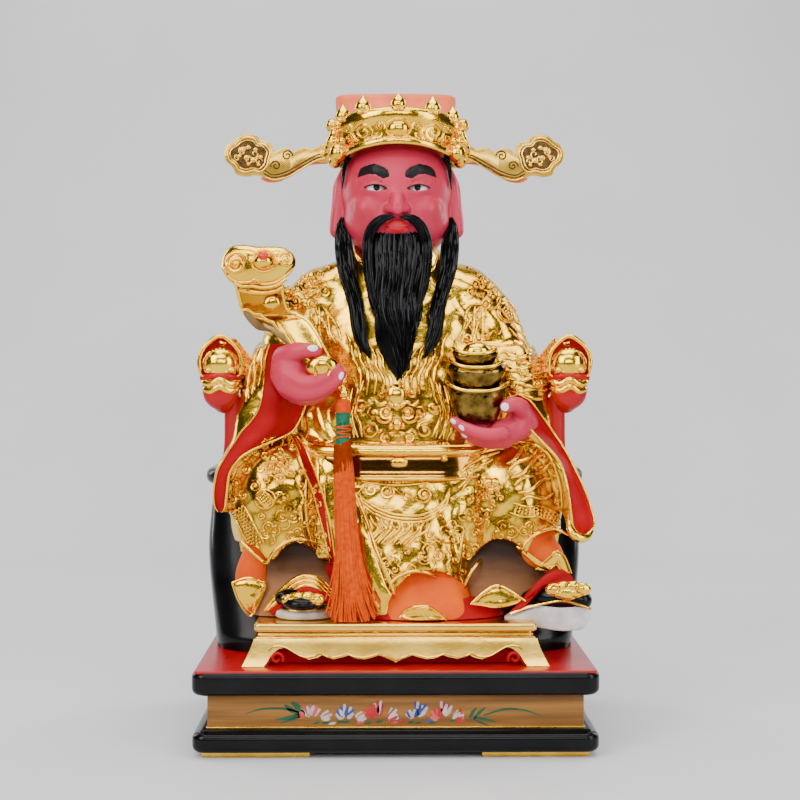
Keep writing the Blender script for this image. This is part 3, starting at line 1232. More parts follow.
def throne():
    show("throne_base", throne_base(), BLACK, replaces=["throne"])
    seat = board(THRONE_HALF - 3, -34, THRONE_BACK, SEAT - 12, SEAT, 22, 5.5)
    show("throne_seat", raised(seat, STAND_LEVEL), BLACK)
    foot = board(THRONE_HALF - 6, 34, THRONE_BACK - 1, 0.2, 6.5, 18, 2.8)
    show("throne_foot", raised(foot, PLINTH_TOP), BLACK)
    show("throne_backrest", backrest(), RED, angle=30)
    neck = [[-THRONE_HALF + 19, -30, 199], [-THRONE_HALF + 29, -10, 202]]
    bend = []
    for a in np.linspace(math.pi, 0, 17):
        x, y = back_plan(a)
        bend.append([x, y, rail_height(y)])
    path = neck + bend + [[-x, y, z] for x, y, z in neck[::-1]]
    path = [[x, y, z + STAND_LEVEL] for x, y, z in path]
    show("throne_rail", tube(path, 8.3, 24, samples=180), RED)
    panel = []
    for a in np.linspace(0.55, math.pi - 0.55, 60):
        x, y = back_plan(a, -5.6)
        panel.append([[x, y, z + STAND_LEVEL] for z in (SEAT + 14, rail_height(y) - 18)])
    panel = np.array(panel)
    outline = np.vstack([panel[:, 0], panel[::-1, 1], panel[:1, 0]])
    show("throne_back_line", tube(outline, 1.3, 8), GOLD)
    for side, name in ((LEFT, "left"), (RIGHT, "right")):
        dragon(side, name)


def dragon(side, name):
    """A dragon's head seen from the front: hood, pearl in the mouth, lips, belly, scaled neck."""
    x, front, low = THRONE_HALF - 17, -47.0, 179 + STAND_LEVEL
    pearl = low + 35.5

    def line(points, y):
        return [[x + px, front + y + dy, low + pz] for px, pz, dy in points]

    def part(word, shapes, material):
        turned = shapes if side == RIGHT else [mirrored(shape) for shape in shapes]
        show(f"dragon_{name}_{word}", turned, material)

    hood = [(0, 53.5, 3), (7, 50, 2), (12.6, 44, 1), (15.2, 37, 1), (14.8, 30, 1), (12.8, 24.5, 2),
            (0, 23, 2),
            (-12.8, 24.5, 2), (-14.8, 30, 1), (-15.2, 37, 1), (-12.6, 44, 1), (-7, 50, 2)]
    part("hood", [pillow(line(hood, 6), -4.5, back=11, samples=72, power=3)], LINING)
    rim = closed_line(line(hood, 2.5), 90)
    upper = [p for p in np.vstack([rim, rim[:1]]) if p[2] > low + 24]
    arch = np.array(sorted(upper, key=lambda p: math.atan2(p[0] - x, p[2] - low - 38)))
    gold = [tube(arch, tapered(len(arch), [0, 0.1, 0.5, 0.9, 1], [0.6, 1.4, 1.7, 1.4, 0.6]), 10),
            knob([x, front + 6.5, pearl], [7.4, 6, 7.2], 32, 20)]
    for i in range(11):
        a = math.pi * i / 10
        gold.append(knob([x + 8.4 * math.cos(a), front + 4.5, pearl + 8.3 * math.sin(a)], [1.5, 2.2, 1.5], 12,
                         8))
    for dx, dz, r in [(-8.4, 28.8, 3.4), (8.4, 28.8, 3.4), (-4.6, 27.4, 2.2), (4.6, 27.4, 2.2)]:
        gold.append(knob([x + dx, front + 3.5, low + dz], [r, 3.8, r * 0.75], 16, 10))
    for height, reach, thick in [(20.4, 14.6, 2.8), (15.4, 13.8, 2.7)]:
        points = [[x + s * reach, front + 1.5 + 8 * s * s,
                   low + height + 1.3 * math.cos(6.5 * s) - 1.5 * s * s]
                  for s in np.linspace(-1, 1, 40)]
        gold.append(tube(points, tapered(40, [0, 0.12, 0.88, 1], [0.8, thick, thick, 0.8]), 12))
    part("gold", gold, GOLD)
    lip = [[x + s * 13.6, front + 2.0 + 7 * s * s, low + 24.8 - 2.0 * s * s] for s in np.linspace(-1, 1, 30)]
    belly = [[x, front + 9, low + 23, 13, 7], [x, front + 8.5, low + 14, 13.4, 7.5],
             [x - 0.5, front + 9.5, low + 8, 12, 7.5], [x - 1.5, front + 13, low + 4.5, 8, 7]]
    bracket = [[x - 9, front + 16, low + 10, 7, 6], [x - 9, front + 18, low - 8, 7.4, 6],
               [x - 8.5, front + 20, low - 26, 7.4, 6], [x - 7, front + 22, low - 42, 8, 6],
               [x - 6, front + 21, STAND_LEVEL + SEAT - 2, 9, 6]]
    part("red", [limb(belly, local=False), tube(lip, 2.4, 12), limb(bracket, local=False, ends=False)], RED)

    def scaled(angle, share):
        return 1 + 0.05 * np.abs(np.sin(5 * angle + math.pi * np.floor(share * 9))) * np.sin(
            math.pi * (share * 9 % 1)) ** 0.5
    nape = [[x, front + 13, low + 33, 15, 14], [x - 6, front + 24, low + 28, 12.5, 13],
            [x - 15, front + 42, low + 26, 10.5, 11]]
    neck = [limb(nape, sides=90, samples=90, wave=scaled, local=False)]
    for k in range(7):
        s = k / 6
        root = np.array([x - 2 - 10 * s, front + 12 + 24 * s, low + 48 - 12 * s])
        for way in (-1, 1):
            tip = root + np.array([way * 9, 9, -4 - 5 * s])
            mid = (root + tip) / 2 + np.array([way * 3, 0, 4])
            neck.append(tube([root, mid, tip], [1.2, 2.0, 0.3], 8, samples=12))
    part("neck", neck, GOLD)


# Robe: linings, hems and what shows under it

LEFT_LINING = [
    [344, 270, 297], [360, 265.5, 301], [380, 264, 305], [400, 261, 306], [412, 257, 303], [422, 250, 298],
    [432, 241, 291], [440, 236, 275], [450, 229, 252], [460, 223, 238], [472, 217, 230], [495, 213.5, 226.5],
    [507, 215, 225], [512, 218, 222],
]
RIGHT_LINING = [
    [393, 509, 516], [400, 513, 529], [410, 519, 538], [420, 525, 545], [432, 533, 553], [445, 545, 562],
    [457, 556, 569], [470, 563, 576], [495, 569, 587], [516, 572, 594], [528, 574, 594], [534, 580, 588],
]


def lying_strip(rows, lift=1.0, lip=1.6, thick=2.5, samples=72, steps=17):
    """Cloth over the robe between two edges, hollow between its lips; rows are py, left and right px."""
    heights = np.linspace(rows[0][0], rows[-1][0], samples)
    edges = spline(rows)(heights)
    share = np.linspace(0, 1, steps)
    px = edges[:, :1] + (edges[:, 1:] - edges[:, :1]) * share
    depth = np.full((samples, steps), np.nan)
    for i in range(samples):
        for j in range(steps):
            depth[i, j] = on_skin(px[i, j], heights[i], fallback=np.nan)[0][1]
    for i in range(samples):
        known = ~np.isnan(depth[i])
        if known.any():
            depth[i] = np.interp(share, share[known], depth[i][known])
        elif i:
            depth[i] = depth[i - 1]
    shell = depth.copy()
    for _ in range(10):
        pad = np.pad(shell, 1, mode="edge")
        shell = np.minimum((pad[:-2, 1:-1] + pad[2:, 1:-1] + pad[1:-1, :-2] + pad[1:-1, 2:]) / 4, depth + 0.3)
    shell = shell - lift - lip * (2 * share - 1) ** 4
    grid = []
    for i in range(samples):
        front = [at(px[i, j], heights[i], shell[i, j]) for j in range(steps)]
        rear = [p + np.array([0, thick, 0]) for p in front[::-1]]
        grid.append(front + rear)
    grid = np.array(grid)
    return facing_out(lofted(grid)), grid[:, 0], grid[:, steps - 1]


def rolled(line, radius, ends=0.4):
    return tube(line, tapered(len(line), [0, 0.05, 0.95, 1],
                                [ends * radius, radius, radius, ends * radius]), 10)


def linings():
    left, left_outer, left_inner = lying_strip(LEFT_LINING)
    right, right_inner, right_outer = lying_strip(RIGHT_LINING)
    show("sleeve_linings", [left, right], LINING)
    hems = [rolled(left_outer, 0.7), rolled(left_inner, 1.1), rolled(right_inner, 1.1),
            rolled(right_outer, 0.9)]
    foot = at_all([(569, 520, -57), (571, 530, -60), (577, 537, -61), (586, 538, -58), (593, 531, -55)])
    hems.append(tube(foot, [1.2, 3.0, 3.6, 3.4, 1.6], 14, samples=40))
    show("sleeve_hems", hems, GOLD)
    rows = [[436, 291, 297], [450, 297, 306], [470, 304, 314], [490, 312, 321], [512, 318, 327],
            [535, 324, 332],
            [560, 329, 335], [590, 331, 338]]
    strip, outer, inner = lying_strip(rows, lift=0.6, lip=0.6)
    show("robe_edge_lining", strip, LINING)
    show("robe_edge_hems", [rolled(outer, 0.8), rolled(inner, 0.8)], GOLD)


# Under the robe: skirts, cuffs and boots


def picture_line(points, samples=30):
    """A smooth line through picture points that each carry their own depth."""
    return open_line(at_all(points), samples)


def underskirts():
    core = pillar([[0, -4, -4, 94, 39], [30, -3, -3, 96, 41], [58, 0, -2, 100, 42]], levels=24, square=2.6)
    flare = pillar([[0.3, 20, -36, 60, 33], [4, 20, -36, 58, 31], [14, 22, -34, 50, 26]], levels=24)
    show("underskirt", [core, flare], LINING)

    def drape(angle, share):
        return 1 + 0.03 * np.cos(3 * angle + 5 * share) + 0.02 * np.cos(8 * angle + 3 * share)
    left = pillar([[0.4, -74, -33, 33, 17], [10, -73, -33, 32, 17.5], [22, -70, -32, 28, 17.5],
                   [30, -70, -31, 28, 14.5], [40, -70, -29, 29, 15.5], [60, -71, -26, 29, 16]], sides=112,
                   levels=44, fold=drape)
    right = pillar([[10, 80, -33, 31, 17], [24, 80, -32, 32, 16.5], [40, 80, -30, 32, 16.5],
                    [64, 80, -26, 32, 16]], sides=112, levels=44, fold=drape)
    show("underskirt_inner", [left, right], BROWN)
    centre = pillar([[0.6, 22, -42, 34, 29], [6, 22, -41, 34, 28], [16, 21, -37, 32.5, 25.5],
                     [28, 20, -34, 31.5, 22], [42, 20, -32, 31, 19]], sides=112, levels=44, square=2.5,
                     fold=drape)
    flank = limb([[99, -35, 60, 18, 9], [103, -38, 50, 16, 9], [112, -41, 42, 12, 9], [120, -42, 32, 7, 8]],
                 sides=60)
    corner = limb([[-97, -30, 56, 7, 10], [-102, -33, 44, 9.5, 10], [-105, -36, 30, 11.5, 9],
                   [-104, -38, 18, 12, 9]], sides=60)
    show("underskirt_orange", [centre, flank, corner], ORANGE)


def leaf_of(points, bulge, back=1.5, **more):
    """A cushion whose edge runs through picture points with their depths."""
    return pillow(at_all(points), bulge, back, **more)


def cuffs():
    """Gilt turned corners and hems of the skirts that show under the robe."""
    shapes = [
        leaf_of([(233, 583, -46), (248, 579, -48), (263, 583, -47), (264, 590, -47), (257, 604, -48),
                 (251, 614, -46), (244, 608, -46), (236, 596, -46)], 3.0, 3),
        leaf_of([(472, 604, -62), (484, 593, -63), (497, 587, -63), (511, 593, -62), (525, 601, -61),
                 (510, 607, -63), (496, 609, -64), (483, 607, -63)], 2.2, 2),
        leaf_of([(401, 617, -71), (405, 611, -73), (416, 608, -74.5), (430, 609, -74.5), (440, 614, -73),
                 (446, 620, -71), (430, 621, -74), (412, 621, -73)], 2.0, 2),
        leaf_of([(537, 569, -50), (546, 561, -52), (557, 553, -54), (565, 557, -52), (571, 572, -48),
                 (563, 575, -50), (557, 566, -53), (547, 572, -52)], 2.0, 3),
        leaf_of([(352, 526, -61), (357, 560, -64), (366, 588, -66), (371, 604, -68), (377, 608.5, -68),
                 (384, 603, -69), (391, 596, -69), (386, 584, -68), (376, 556, -66), (366, 528, -63)], 2.2,
                 3),
        leaf_of([(517, 548, -52), (523, 548, -53), (533, 556, -54), (546, 566, -55), (549, 571, -54),
                 (541, 569, -53), (529, 560, -53)], 1.6, 2),
    ]
    for rows in [[(264, 611, -50), (276, 596, -53), (290, 583, -56), (303, 577, -58), (318, 580, -58),
                  (331, 592, -56)],
                 [(267, 611, -51), (279, 598, -55), (292, 586.5, -58), (304, 581.5, -60), (318, 584.5, -60),
                  (331, 596, -58)],
                 [(270, 612, -52), (282, 600.5, -57), (294, 590.5, -60), (305, 586, -62), (318, 589, -62),
                  (331, 600, -60)]]:
        line = picture_line(rows, 50)
        shapes.append(tube(line, tapered(50, [0, 0.1, 0.9, 1], [0.7, 1.9, 1.9, 1.2]), 14))
    rims = [
        [(232, 583, -47), (248, 578, -49.5), (264, 582, -48)],
        [(232, 583, -47), (238, 600, -47), (246, 613, -47), (252, 615, -47), (264, 590, -48),
         (264, 582, -48)],
        [(471, 605, -63), (484, 593, -65), (497, 586, -66), (511, 592, -65), (526, 602, -63)],
        [(400, 618, -72), (405, 611, -74.5), (416, 607.5, -76), (431, 608.5, -76), (447, 621, -73)],
        [(536, 570, -51), (546, 561, -54), (557, 552, -56), (565, 557, -54), (572, 574, -49)],
    ]
    for rim in rims:
        shapes.append(tube(picture_line(rim, 40), 0.8, 8))
    show("skirt_cuffs", shapes, GOLD)
    red = [tube(picture_line([(272, 613, -54), (284, 603, -58), (296, 594.5, -62), (306, 591, -63.5),
                              (319, 594, -63.5), (332, 605, -61)], 40), 2.6, 12),
           leaf_of([(511, 612, -61), (520, 603, -62), (528, 593, -62), (538, 582, -60), (549, 573.5, -58),
                    (562, 570.5, -56), (573, 577, -53), (572, 584, -56), (560, 582, -61), (547, 584, -64),
                    (538, 591, -65), (530, 601, -65), (522, 610, -64)], 2.2, 4, power=3)]
    show("skirt_red_bands", red, LINING)


def robe_hems():
    """The rolled edge of the robe over each hollow."""
    lines = [
        [(241, 541), (252, 552), (262, 561), (267, 563), (271, 556), (279, 547), (294, 539.5), (309, 541),
         (321, 547), (331, 558)],
        [(386, 597), (391, 584), (400, 576), (414, 571.5), (430, 574), (445, 582), (455, 591), (460, 597),
         (464, 588), (473, 570), (487, 555), (503, 550), (520, 552), (524, 547), (531, 538), (544, 531),
         (556, 529), (569, 536)],
        [(355, 492), (366, 520), (377, 552), (388, 580), (399, 603)],
    ]
    shapes = []
    for points in lines:
        flat = open_line(points, 90)
        depth = [min(on_skin(px + dx, py + dy)[0][1] for dx,
                     dy in ((0, -3), (0, -6), (-4, 0), (4, 0), (0, 4)))
                 for px, py in flat]
        for _ in range(6):
            depth[1:-1] = [(a + 2 * b + c) / 4 for a, b, c in zip(depth, depth[1:], depth[2:])]
        smooth = np.array([at(px, py, y - 0.4) for (px, py), y in zip(flat, depth)])
        for _ in range(4):
            smooth[1:-1] = (smooth[:-2] + smooth[1:-1] * 2 + smooth[2:]) / 4
        shapes.append(tube(smooth, tapered(90, [0, 0.04, 0.96, 1], [0.5, 1.3, 1.3, 0.5]), 10))
    show("robe_hems", shapes, GOLD)


def boots():
    left = limb([[-68, -36, 9, 13, 7], [-67, -47, 12.5, 19, 8.6], [-66, -57, 14.6, 20.5, 8.8],
                 [-66, -64.5, 14, 16, 6.6]], sides=60)
    right = limb([[97, -48, 12, 6, 6.5], [108, -54, 15.2, 11, 10], [121, -59, 15.2, 12, 9.4],
                  [133, -63, 14, 8, 7.4]], sides=60, across=(0, 1, 0))
    show("boots", [left, right], BLACK)
    welt = pillar([[0.4, -66, -48, 19, 18], [1.2, -66, -48, 20.5, 19.3], [4.6, -66, -48.5, 20.8, 19.8],
                   [6.2, -66, -48, 20, 18.8], [6.8, -66, -48, 18, 16.6]], sides=80, levels=14, square=2.5)
    sole_line = [(505, 619.5), (515, 614.5), (527, 610), (545, 606), (562, 603.5), (577, 606.5), (592, 611.5),
                 (590, 620), (584, 629.5), (574, 631.5), (561, 632), (544, 629.5), (523, 624.5)]
    edge = closed_line([at(px, py, -56 - 0.16 * (px - 505)) for px, py in sole_line], 90)
    middle = edge.mean(0)
    grid = []
    for share, forward in [(0.25, -2.6), (0.75, -2.4), (0.93, -1.8), (1.0, -0.4), (1.0, 1.0), (0.9, 3.4),
                           (0.5, 6)]:
        ring = middle + (edge - middle) * share
        ring[:, 1] += forward
        ring[:, 2] += max(forward, 0) * 0.9
        grid.append(ring)
    sole = facing_out(lofted(np.array(grid)))
    show("boot_soles", [welt, sole], SOLE)
    line = picture_line([(511, 614.5, -61), (527, 608.5, -64), (545, 604.5, -67), (562, 602, -70),
                         (577, 605, -73), (592, 610, -74)], 50)
    gold = [tube(line, 0.9, 8)]
    gold.append(tube(closed_line([[-66 + 20.3 * math.cos(a), -48.4 - 19 * math.sin(a), 97.6]
                                  for a in np.linspace(0, math.pi, 12)], 60)[:52], 0.7, 8))
    for middle_px, middle_py, depth, wide, tall in [(303, 601.5, -73.5, 21, 10), (569, 591.5, -73, 22.5, 10)]:
        petals = [(-0.62, -0.1, 0.42), (0.62, -0.15, 0.42), (-0.22, -0.38, 0.36), (0.22, -0.42, 0.36),
                  (0, 0.2, 0.5), (-0.34, 0.25, 0.34), (0.36, 0.22, 0.34)]
        for dx, dy, r in petals:
            px, py = middle_px + dx * wide, middle_py + dy * tall
            gold.append(knob(at(px, py, depth - 0.12 * (px - middle_px)),
                             [r * wide * 0.7, 3.2, r * wide * 0.5],
                             20, 12))
        for hand in (-1, 1):
            path = []
            for a in np.linspace(0, 2.6 * math.pi, 34):
                r = (1 - a / (3 * math.pi)) * tall * 0.55
                px = middle_px + hand * (0.52 * wide + r * math.cos(a))
                py = middle_py - 0.1 * tall - r * math.sin(a)
                path.append(at(px, py, depth - 3.3 - 0.12 * (px - middle_px)))
            gold.append(tube(path, 0.75, 8))
    show("boot_clouds", gold, GOLD)


# Head

FACE = {"middle": 1.5, "top": 344, "third": 26, "eyes": 15.6}
BROW = FACE["top"] - FACE["third"]
NOSE_BASE = BROW - FACE["third"]
CHIN = NOSE_BASE - FACE["third"]
MOUTH = NOSE_BASE - FACE["third"] / 3
EYE_LEVEL = BROW - 7


def eye_line(side, rise, drop, samples=26):
    """The opening between the lids, from corner to corner and back, in x and z."""
    x = FACE["middle"] + side * FACE["eyes"]
    share = np.linspace(-1, 1, samples)
    arch = (1 - share**2) ** 0.8
    over = np.stack([x + side * 8.3 * share, EYE_LEVEL + rise * arch + 0.5 * share], -1)
    under = np.stack([x + side * 8.3 * share, EYE_LEVEL - drop * arch + 0.5 * share], -1)
    return over, under


def lid_front(side, x, z):
    """Depth of the lid's surface over the ball of the eye."""
    ball_depth, ball_radius, turn = -25.8, 11.0, 0.225
    reach = (x - FACE["middle"] - side * FACE["eyes"]) ** 2 + (z - EYE_LEVEL) ** 2
    outward = abs(x - FACE["middle"]) - FACE["eyes"]
    return ball_depth + turn * outward - np.sqrt(np.maximum(ball_radius**2 - reach, 1))


def head():
    m = FACE["middle"]
    forms = [
        ball([m, -1, 312], [41.5, 39.5, 44], 60, 40),
        ball([m, -8, CHIN + 23], [39.5, 32, 30], 60, 40),
        ball([m, -16, CHIN + 9], [21, 19, 14], 40, 26),
        ball([m, -33, MOUTH], [15, 6.5, 10], 40, 26),
        pillar([[250, 1, 6, 26, 23], [285, m, 2, 27, 25]], sides=60, levels=12),
        limb([[m, -35.5, BROW, 5, 3.5], [m, -39, BROW - 12, 4.6, 4], [m, -43.5, NOSE_BASE + 6, 5.2, 5],
              [m, -44.5, NOSE_BASE + 3.6, 5, 4.2]], sides=40, samples=40),
        ball([m, -39.5, MOUTH + 1.9], [9.2, 3.2, 1.9], 30, 16),
        ball([m, -39, MOUTH - 2.2], [7.8, 3.6, 2.5], 30, 16),
    ]
    for side in (LEFT, RIGHT):
        x = m + side * FACE["eyes"]
        forms += [
            ball([m + side * 5.2, -40, NOSE_BASE + 3.4], [4, 5, 3.6], 24, 16),
            ball([m + side * 20, -24, NOSE_BASE + 5], [13, 13, 12], 40, 24),
            ball([x, -30.5, EYE_LEVEL], [9.6, 8.2, 6.3], 40, 24),
            limb([[x - side * 9, -36.2, BROW - 0.5, 3, 2.4], [x, -35, BROW + 2.4, 3.4, 2.8],
                  [x + side * 10, -28.5, BROW - 0.5, 3, 2.5]], sides=24, samples=24),
            limb([[m + side * 39, 6, 327, 4, 6], [m + side * 42.5, 3, 316, 5.0, 9.5],
                  [m + side * 43, 0, 303, 5.6, 8], [m + side * 43.5, -3, 291, 6.4, 6.4],
                  [m + side * 44, -5, 283, 6.2, 5.4]], sides=40, samples=40),
        ]
    cuts = []
    for side in (LEFT, RIGHT):
        over, under = eye_line(side, 2.5, 1.9)
        ring = np.vstack([over, under[::-1][1:-1]])
        grid = np.array([[[x, y, z] for x, z in ring] for y in np.linspace(-60, -31, 3)])
        opening = lofted(grid)
        cuts.append(facing_out((to_row(opening[0]), opening[1])))
        crease = [[x, lid_front(side, x, z) - 1.6, z + 2.7] for x, z in over[2:-2]]
        cuts.append(tube(to_row(np.array(crease)), 0.55, 8))
        cuts.append(ball([m + side * 3.6, -42.5, NOSE_BASE + 0.7], [2, 2.2, 1.2], 16, 10))
        cuts.append(limb([[m + side * 46.5, -6, 319, 1.4, 3.2], [m + side * 47.5, -8, 309, 1.8, 3.8],
                          [m + side * 47.5, -8, 301, 1.4, 2.4]], sides=24, samples=24))
    parting = [[m + dx, -42.9 + dx * dx * 0.022, MOUTH + 0.25 + 0.012 * dx * dx] for dx in np.linspace(-9, 9,
                                                                                                       21)]
    cuts.append(tube(to_row(np.array(parting)), 0.5, 8))
    shape = smoothed(cast(forms, 0.75, soft=3.2, cuts=cuts, cut_soft=0.5), 3)
    show("head", shape, SKIN, angle=80, keep=0.42)
    return shape


def front_of(shape):
    skin = BVHTree.FromPolygons(shape[0].tolist(), shape[1])

    def front(x, z):
        hit, _, _, _ = skin.ray_cast(Vector((x, -200.0, z)), Vector((0, 1, 0)))
        return hit[1] if hit is not None else 0.0
    return front


def face_parts(shape):
    """Eyes, lashes, brows and lips, laid on the face."""
    front = front_of(shape)
    whites, pupils, lashes, brows, lips = [], [], [], [], []
    for side in (LEFT, RIGHT):
        x = FACE["middle"] + side * FACE["eyes"]
        whites.append(ball([x, -25.2, EYE_LEVEL], [10.6, 11.0, 9], 40, 26))
        pupils.append(ball([x - side * 0.3, -34.5, EYE_LEVEL + 0.4], [3.5, 1.9, 3.3], 28, 16))
        over, under = eye_line(side, 2.6, 1.9)
        line = to_row(np.array([[ex, 0, ez] for ex, ez in over]))
        line[:, 1] = [front(p[0], p[2] + 0.9) + 0.1 for p in line]
        lashes.append(tube(line, tapered(len(line), [0, 0.4, 1], [0.35, 0.6, 0.4]), 8))
        arch = [(-9.5, -0.6), (-4, 2.4), (2, 3.9), (8, 3.2), (13, 0.0)]
        path = open_line([[x + side * dx, 0, BROW + 1.6 + dz] for dx, dz in arch], 40)
        row = to_row(path)
        row[:, 1] = [front(p[0], p[2]) + 0.5 for p in row]
        wide = tapered(40, [0, 0.12, 0.45, 0.8, 1], [1.2, 3.9, 5.2, 4.2, 0.8])

        def hairs(angle, share):
            return 1 + 0.07 * np.cos(9 * angle + 26 * share)
        brows.append(tube(row, wide, 24, across=(0, 0, 1), flat=0.42, wave=hairs))
    for rows, deep in [([(-9.4, 0.5, 0.4), (-4.6, 2.1, 1.15), (-1.4, 2.9, 1.3), (0, 2.5, 1.25),
                         (1.4, 2.9, 1.3),
                         (4.6, 2.1, 1.15), (9.4, 0.5, 0.4)], 0.55),
                       ([(-8.8, 0.1, 0.4), (-4.5, -1.7, 1.4), (0, -2.3, 1.7), (4.5, -1.7, 1.4),
                         (8.8, 0.1, 0.4)], 0.6)]:
        fine = open_line(rows, 44)
        row = to_row(np.array([[FACE["middle"] + dx, 0, MOUTH + dz] for dx, dz, _ in fine]))
        row[:, 1] = [front(p[0], p[2]) + 0.35 for p in row]
        lips.append(tube(row, np.abs(fine[:, 2]), 16, across=(0, 0, 1), flat=deep))
    show("eye_whites", whites, EYE_WHITE)
    show("eye_irises", pupils, INK)
    show("eye_lines", lashes, INK)
    show("eyebrows", brows, INK)
    show("lips", lips, LIPS)


# Beard


def lock(stations, turn=0.0, grooves=13, sides=65, samples=42, across=(1, 0, 0), wander=0.6, depth=0.22):
    """A lock of hair with combed lines that wander along it, drawn out to a point."""
    def combed(angle, share):
        shift = wander * np.sin(4 * share + turn)
        fine = 0.5 + 0.5 * np.cos(grooves * (angle + 0.25 * shift))
        return 1 - depth * fine**2
    return limb(stations, sides=sides, samples=samples, across=across, wave=combed, ends=False)


def swaying(x0, y0, z0, x1, y1, z1, wide, sway=2.5, phase=0.0, thick=0.7, steps=7, late=1.0):
    """Stations of a lock that sways down from root to tip."""
    rows = []
    for i in range(steps):
        s = i / (steps - 1)
        bow = math.sin(math.pi * s)
        rows.append([
            x0 + (x1 - x0) * s**late + sway * math.sin(2.2 * math.pi * s + phase) * (0.3 + 0.7 * s),
            y0 + (y1 - y0) * s - 3 * bow,
            z0 + (z1 - z0) * s,
            max(wide * (1 - 0.15 * s - 0.82 * s**5), 0.25),
            max(wide * thick * (1 - 0.15 * s - 0.82 * s**5), 0.25),
        ])
    return rows


def beard():
    m = FACE["middle"] + 0.5
    rng = np.random.default_rng(4)
    body = [[284, m, -27, 20, 11], [270, m, -30, 23, 12], [250, m, -36, 20.5, 12],
            [232, m - 1, -40, 16.5, 10],
            [214, m - 2.5, -42, 14.6, 8.5], [200, m - 2, -43, 14, 7.5], [190, m - 0.5, -44, 11, 6],
            [181, m + 0.5, -45, 7, 4.5], [172, m, -46, 1, 1]]

    def flutes(angle, share):
        return 1 - 0.06 * (0.5 + 0.5 * np.cos(34 * angle + 3 * np.sin(5 * share))) ** 2
    locks = [pillar(body[::-1], sides=170, levels=44, fold=flutes)]
    for k, share in enumerate(np.linspace(-1, 1, 9)):
        reach = 21 * share
        tip = 171 + 26 * abs(share) ** 1.4 + rng.uniform(-2, 4) * (share != 0)
        locks.append(lock(swaying(m + reach * 0.86, -37 + 9 * share**2, CHIN + 11 - 3 * share**2,
                                  m - 0.5 + reach * 0.30, -50 + 4 * abs(share), tip,
                                  5.6, 3.0, 0.9 + 0.12 * k, thick=0.75, steps=10, late=2.4), turn=k,
                                  depth=0.34))
    for k, share in enumerate(np.linspace(-0.75, 0.75, 6)):
        reach = 18 * share
        locks.append(lock(swaying(m + reach, -43 + 5 * share**2, CHIN + 4 - rng.uniform(0, 14),
                                  m + reach * 0.42, -53 + 3 * abs(share),
                                  186 + 16 * abs(share) + rng.uniform(-4, 8),
                                  3.8, 3.0, 0.7 + 0.2 * k, thick=0.7, steps=9, late=2.2), turn=2 * k,
                                  grooves=9,
                          sides=45, depth=0.34))
    show("beard", locks, HAIR, keep=1.0)
    sides = []
    for side in (LEFT, RIGHT):
        def x(value):
            return FACE["middle"] + side * value
        main = [[x(40.5), -9, 291, 2.0, 3.0], [x(41), -14, 283, 4.6, 4.8], [x(39.2), -23, 270, 6.8, 5.8],
                [x(37.4), -30, 253, 6.6, 5.6], [x(33.5), -34, 238, 5.8, 5.4], [x(30), -37.5, 224, 5.6, 5.2],
                [x(28.2), -40, 211, 5.6, 4.8], [x(25.5), -42, 200, 4.6, 4.2], [x(22.2), -43, 193, 2.6, 3],
                [x(20), -43.5, 188, 0.5, 0.6]]
        sides.append(lock(main, turn=side, grooves=16, sides=64))
        for k, shift in enumerate((-3.4, 0.2, 3.4)):
            twin = [[s[0] + side * shift * s[3] / 6.8 * (0.7 + 0.3 * math.sin(0.9 * i + k)),
                     s[1] - 3.2 + 0.3 * abs(shift), s[2] - 4 + 0.35 * i, s[3] * 0.48, s[4] * 0.5]
                    for i, s in enumerate(main)]
            sides.append(lock(twin, turn=k, grooves=8, sides=48, depth=0.3))
        sides.append(lock([[x(34.8), -20, 343, 1.8, 3.6], [x(38.2), -17, 332, 1.7, 3.4],
                           [x(39.8), -15.5, 322, 1.4, 2.6], [x(40.6), -14.5, 313, 0.4, 0.8]],
                          grooves=6, sides=30, samples=30))
        tache = [[x(2.2), -45.2, NOSE_BASE - 2.4, 0.4, 0.5], [x(7), -45.2, NOSE_BASE - 2.6, 1.9, 2.2],
                 [x(13), -43.5, NOSE_BASE - 4.8, 2.9, 3.3], [x(18.5), -40.5, NOSE_BASE - 10.5, 3.5, 3.7],
                 [x(21.5), -39, NOSE_BASE - 19, 3.7, 3.8], [x(22), -40, NOSE_BASE - 30, 3.8, 3.8],
                 [x(21), -43, NOSE_BASE - 44, 3.4, 3.4], [x(18.5), -47, NOSE_BASE - 58, 2.4, 2.6],
                 [x(15), -49.5, NOSE_BASE - 72, 0.4, 0.4]]
        sides.append(lock(tache, turn=0.4 * side, grooves=10, sides=50, across=(0, 1, 0)))
        second = [[s[0] - side * (1.4 + 0.2 * i), s[1] - 1.6, s[2] - 0.5 - 0.3 * i, s[3] * 0.6, s[4] * 0.55]
                  for i, s in enumerate(tache)]
        sides.append(lock(second, turn=1.7, grooves=7, sides=36, across=(0, 1, 0)))
    show("moustache_and_side_locks", sides, HAIR, keep=1.0)


# Crown

CROWN_MIDDLE = 398.4
PEACH = [(-3.2, 2.4), (-2.2, 4.7), (-0.4, 5.8), (2.2, 6.2), (4.8, 5.4), (7.2, 3.6), (9.2, 1.7), (10.6, 0.4)]


def hair_cap():
    """Combed hair that shows between the ears and the hat."""
    m = FACE["middle"]
    points, faces = ball([m, 10, 316], [42.6, 36.5, 36], 276, 44)
    middle = unit_point(m, 10, 316)
    away = points - middle
    combed = 0.5 + 0.5 * np.cos(46 * np.arctan2(away[:, 1], away[:, 0]) + 2.5 * np.sin(away[:, 2] / 9))
    points[:, :2] = middle[:2] + away[:, :2] * (1 - 0.03 * combed[:, None])
    show("hair_cap", (points, faces), HAIR)


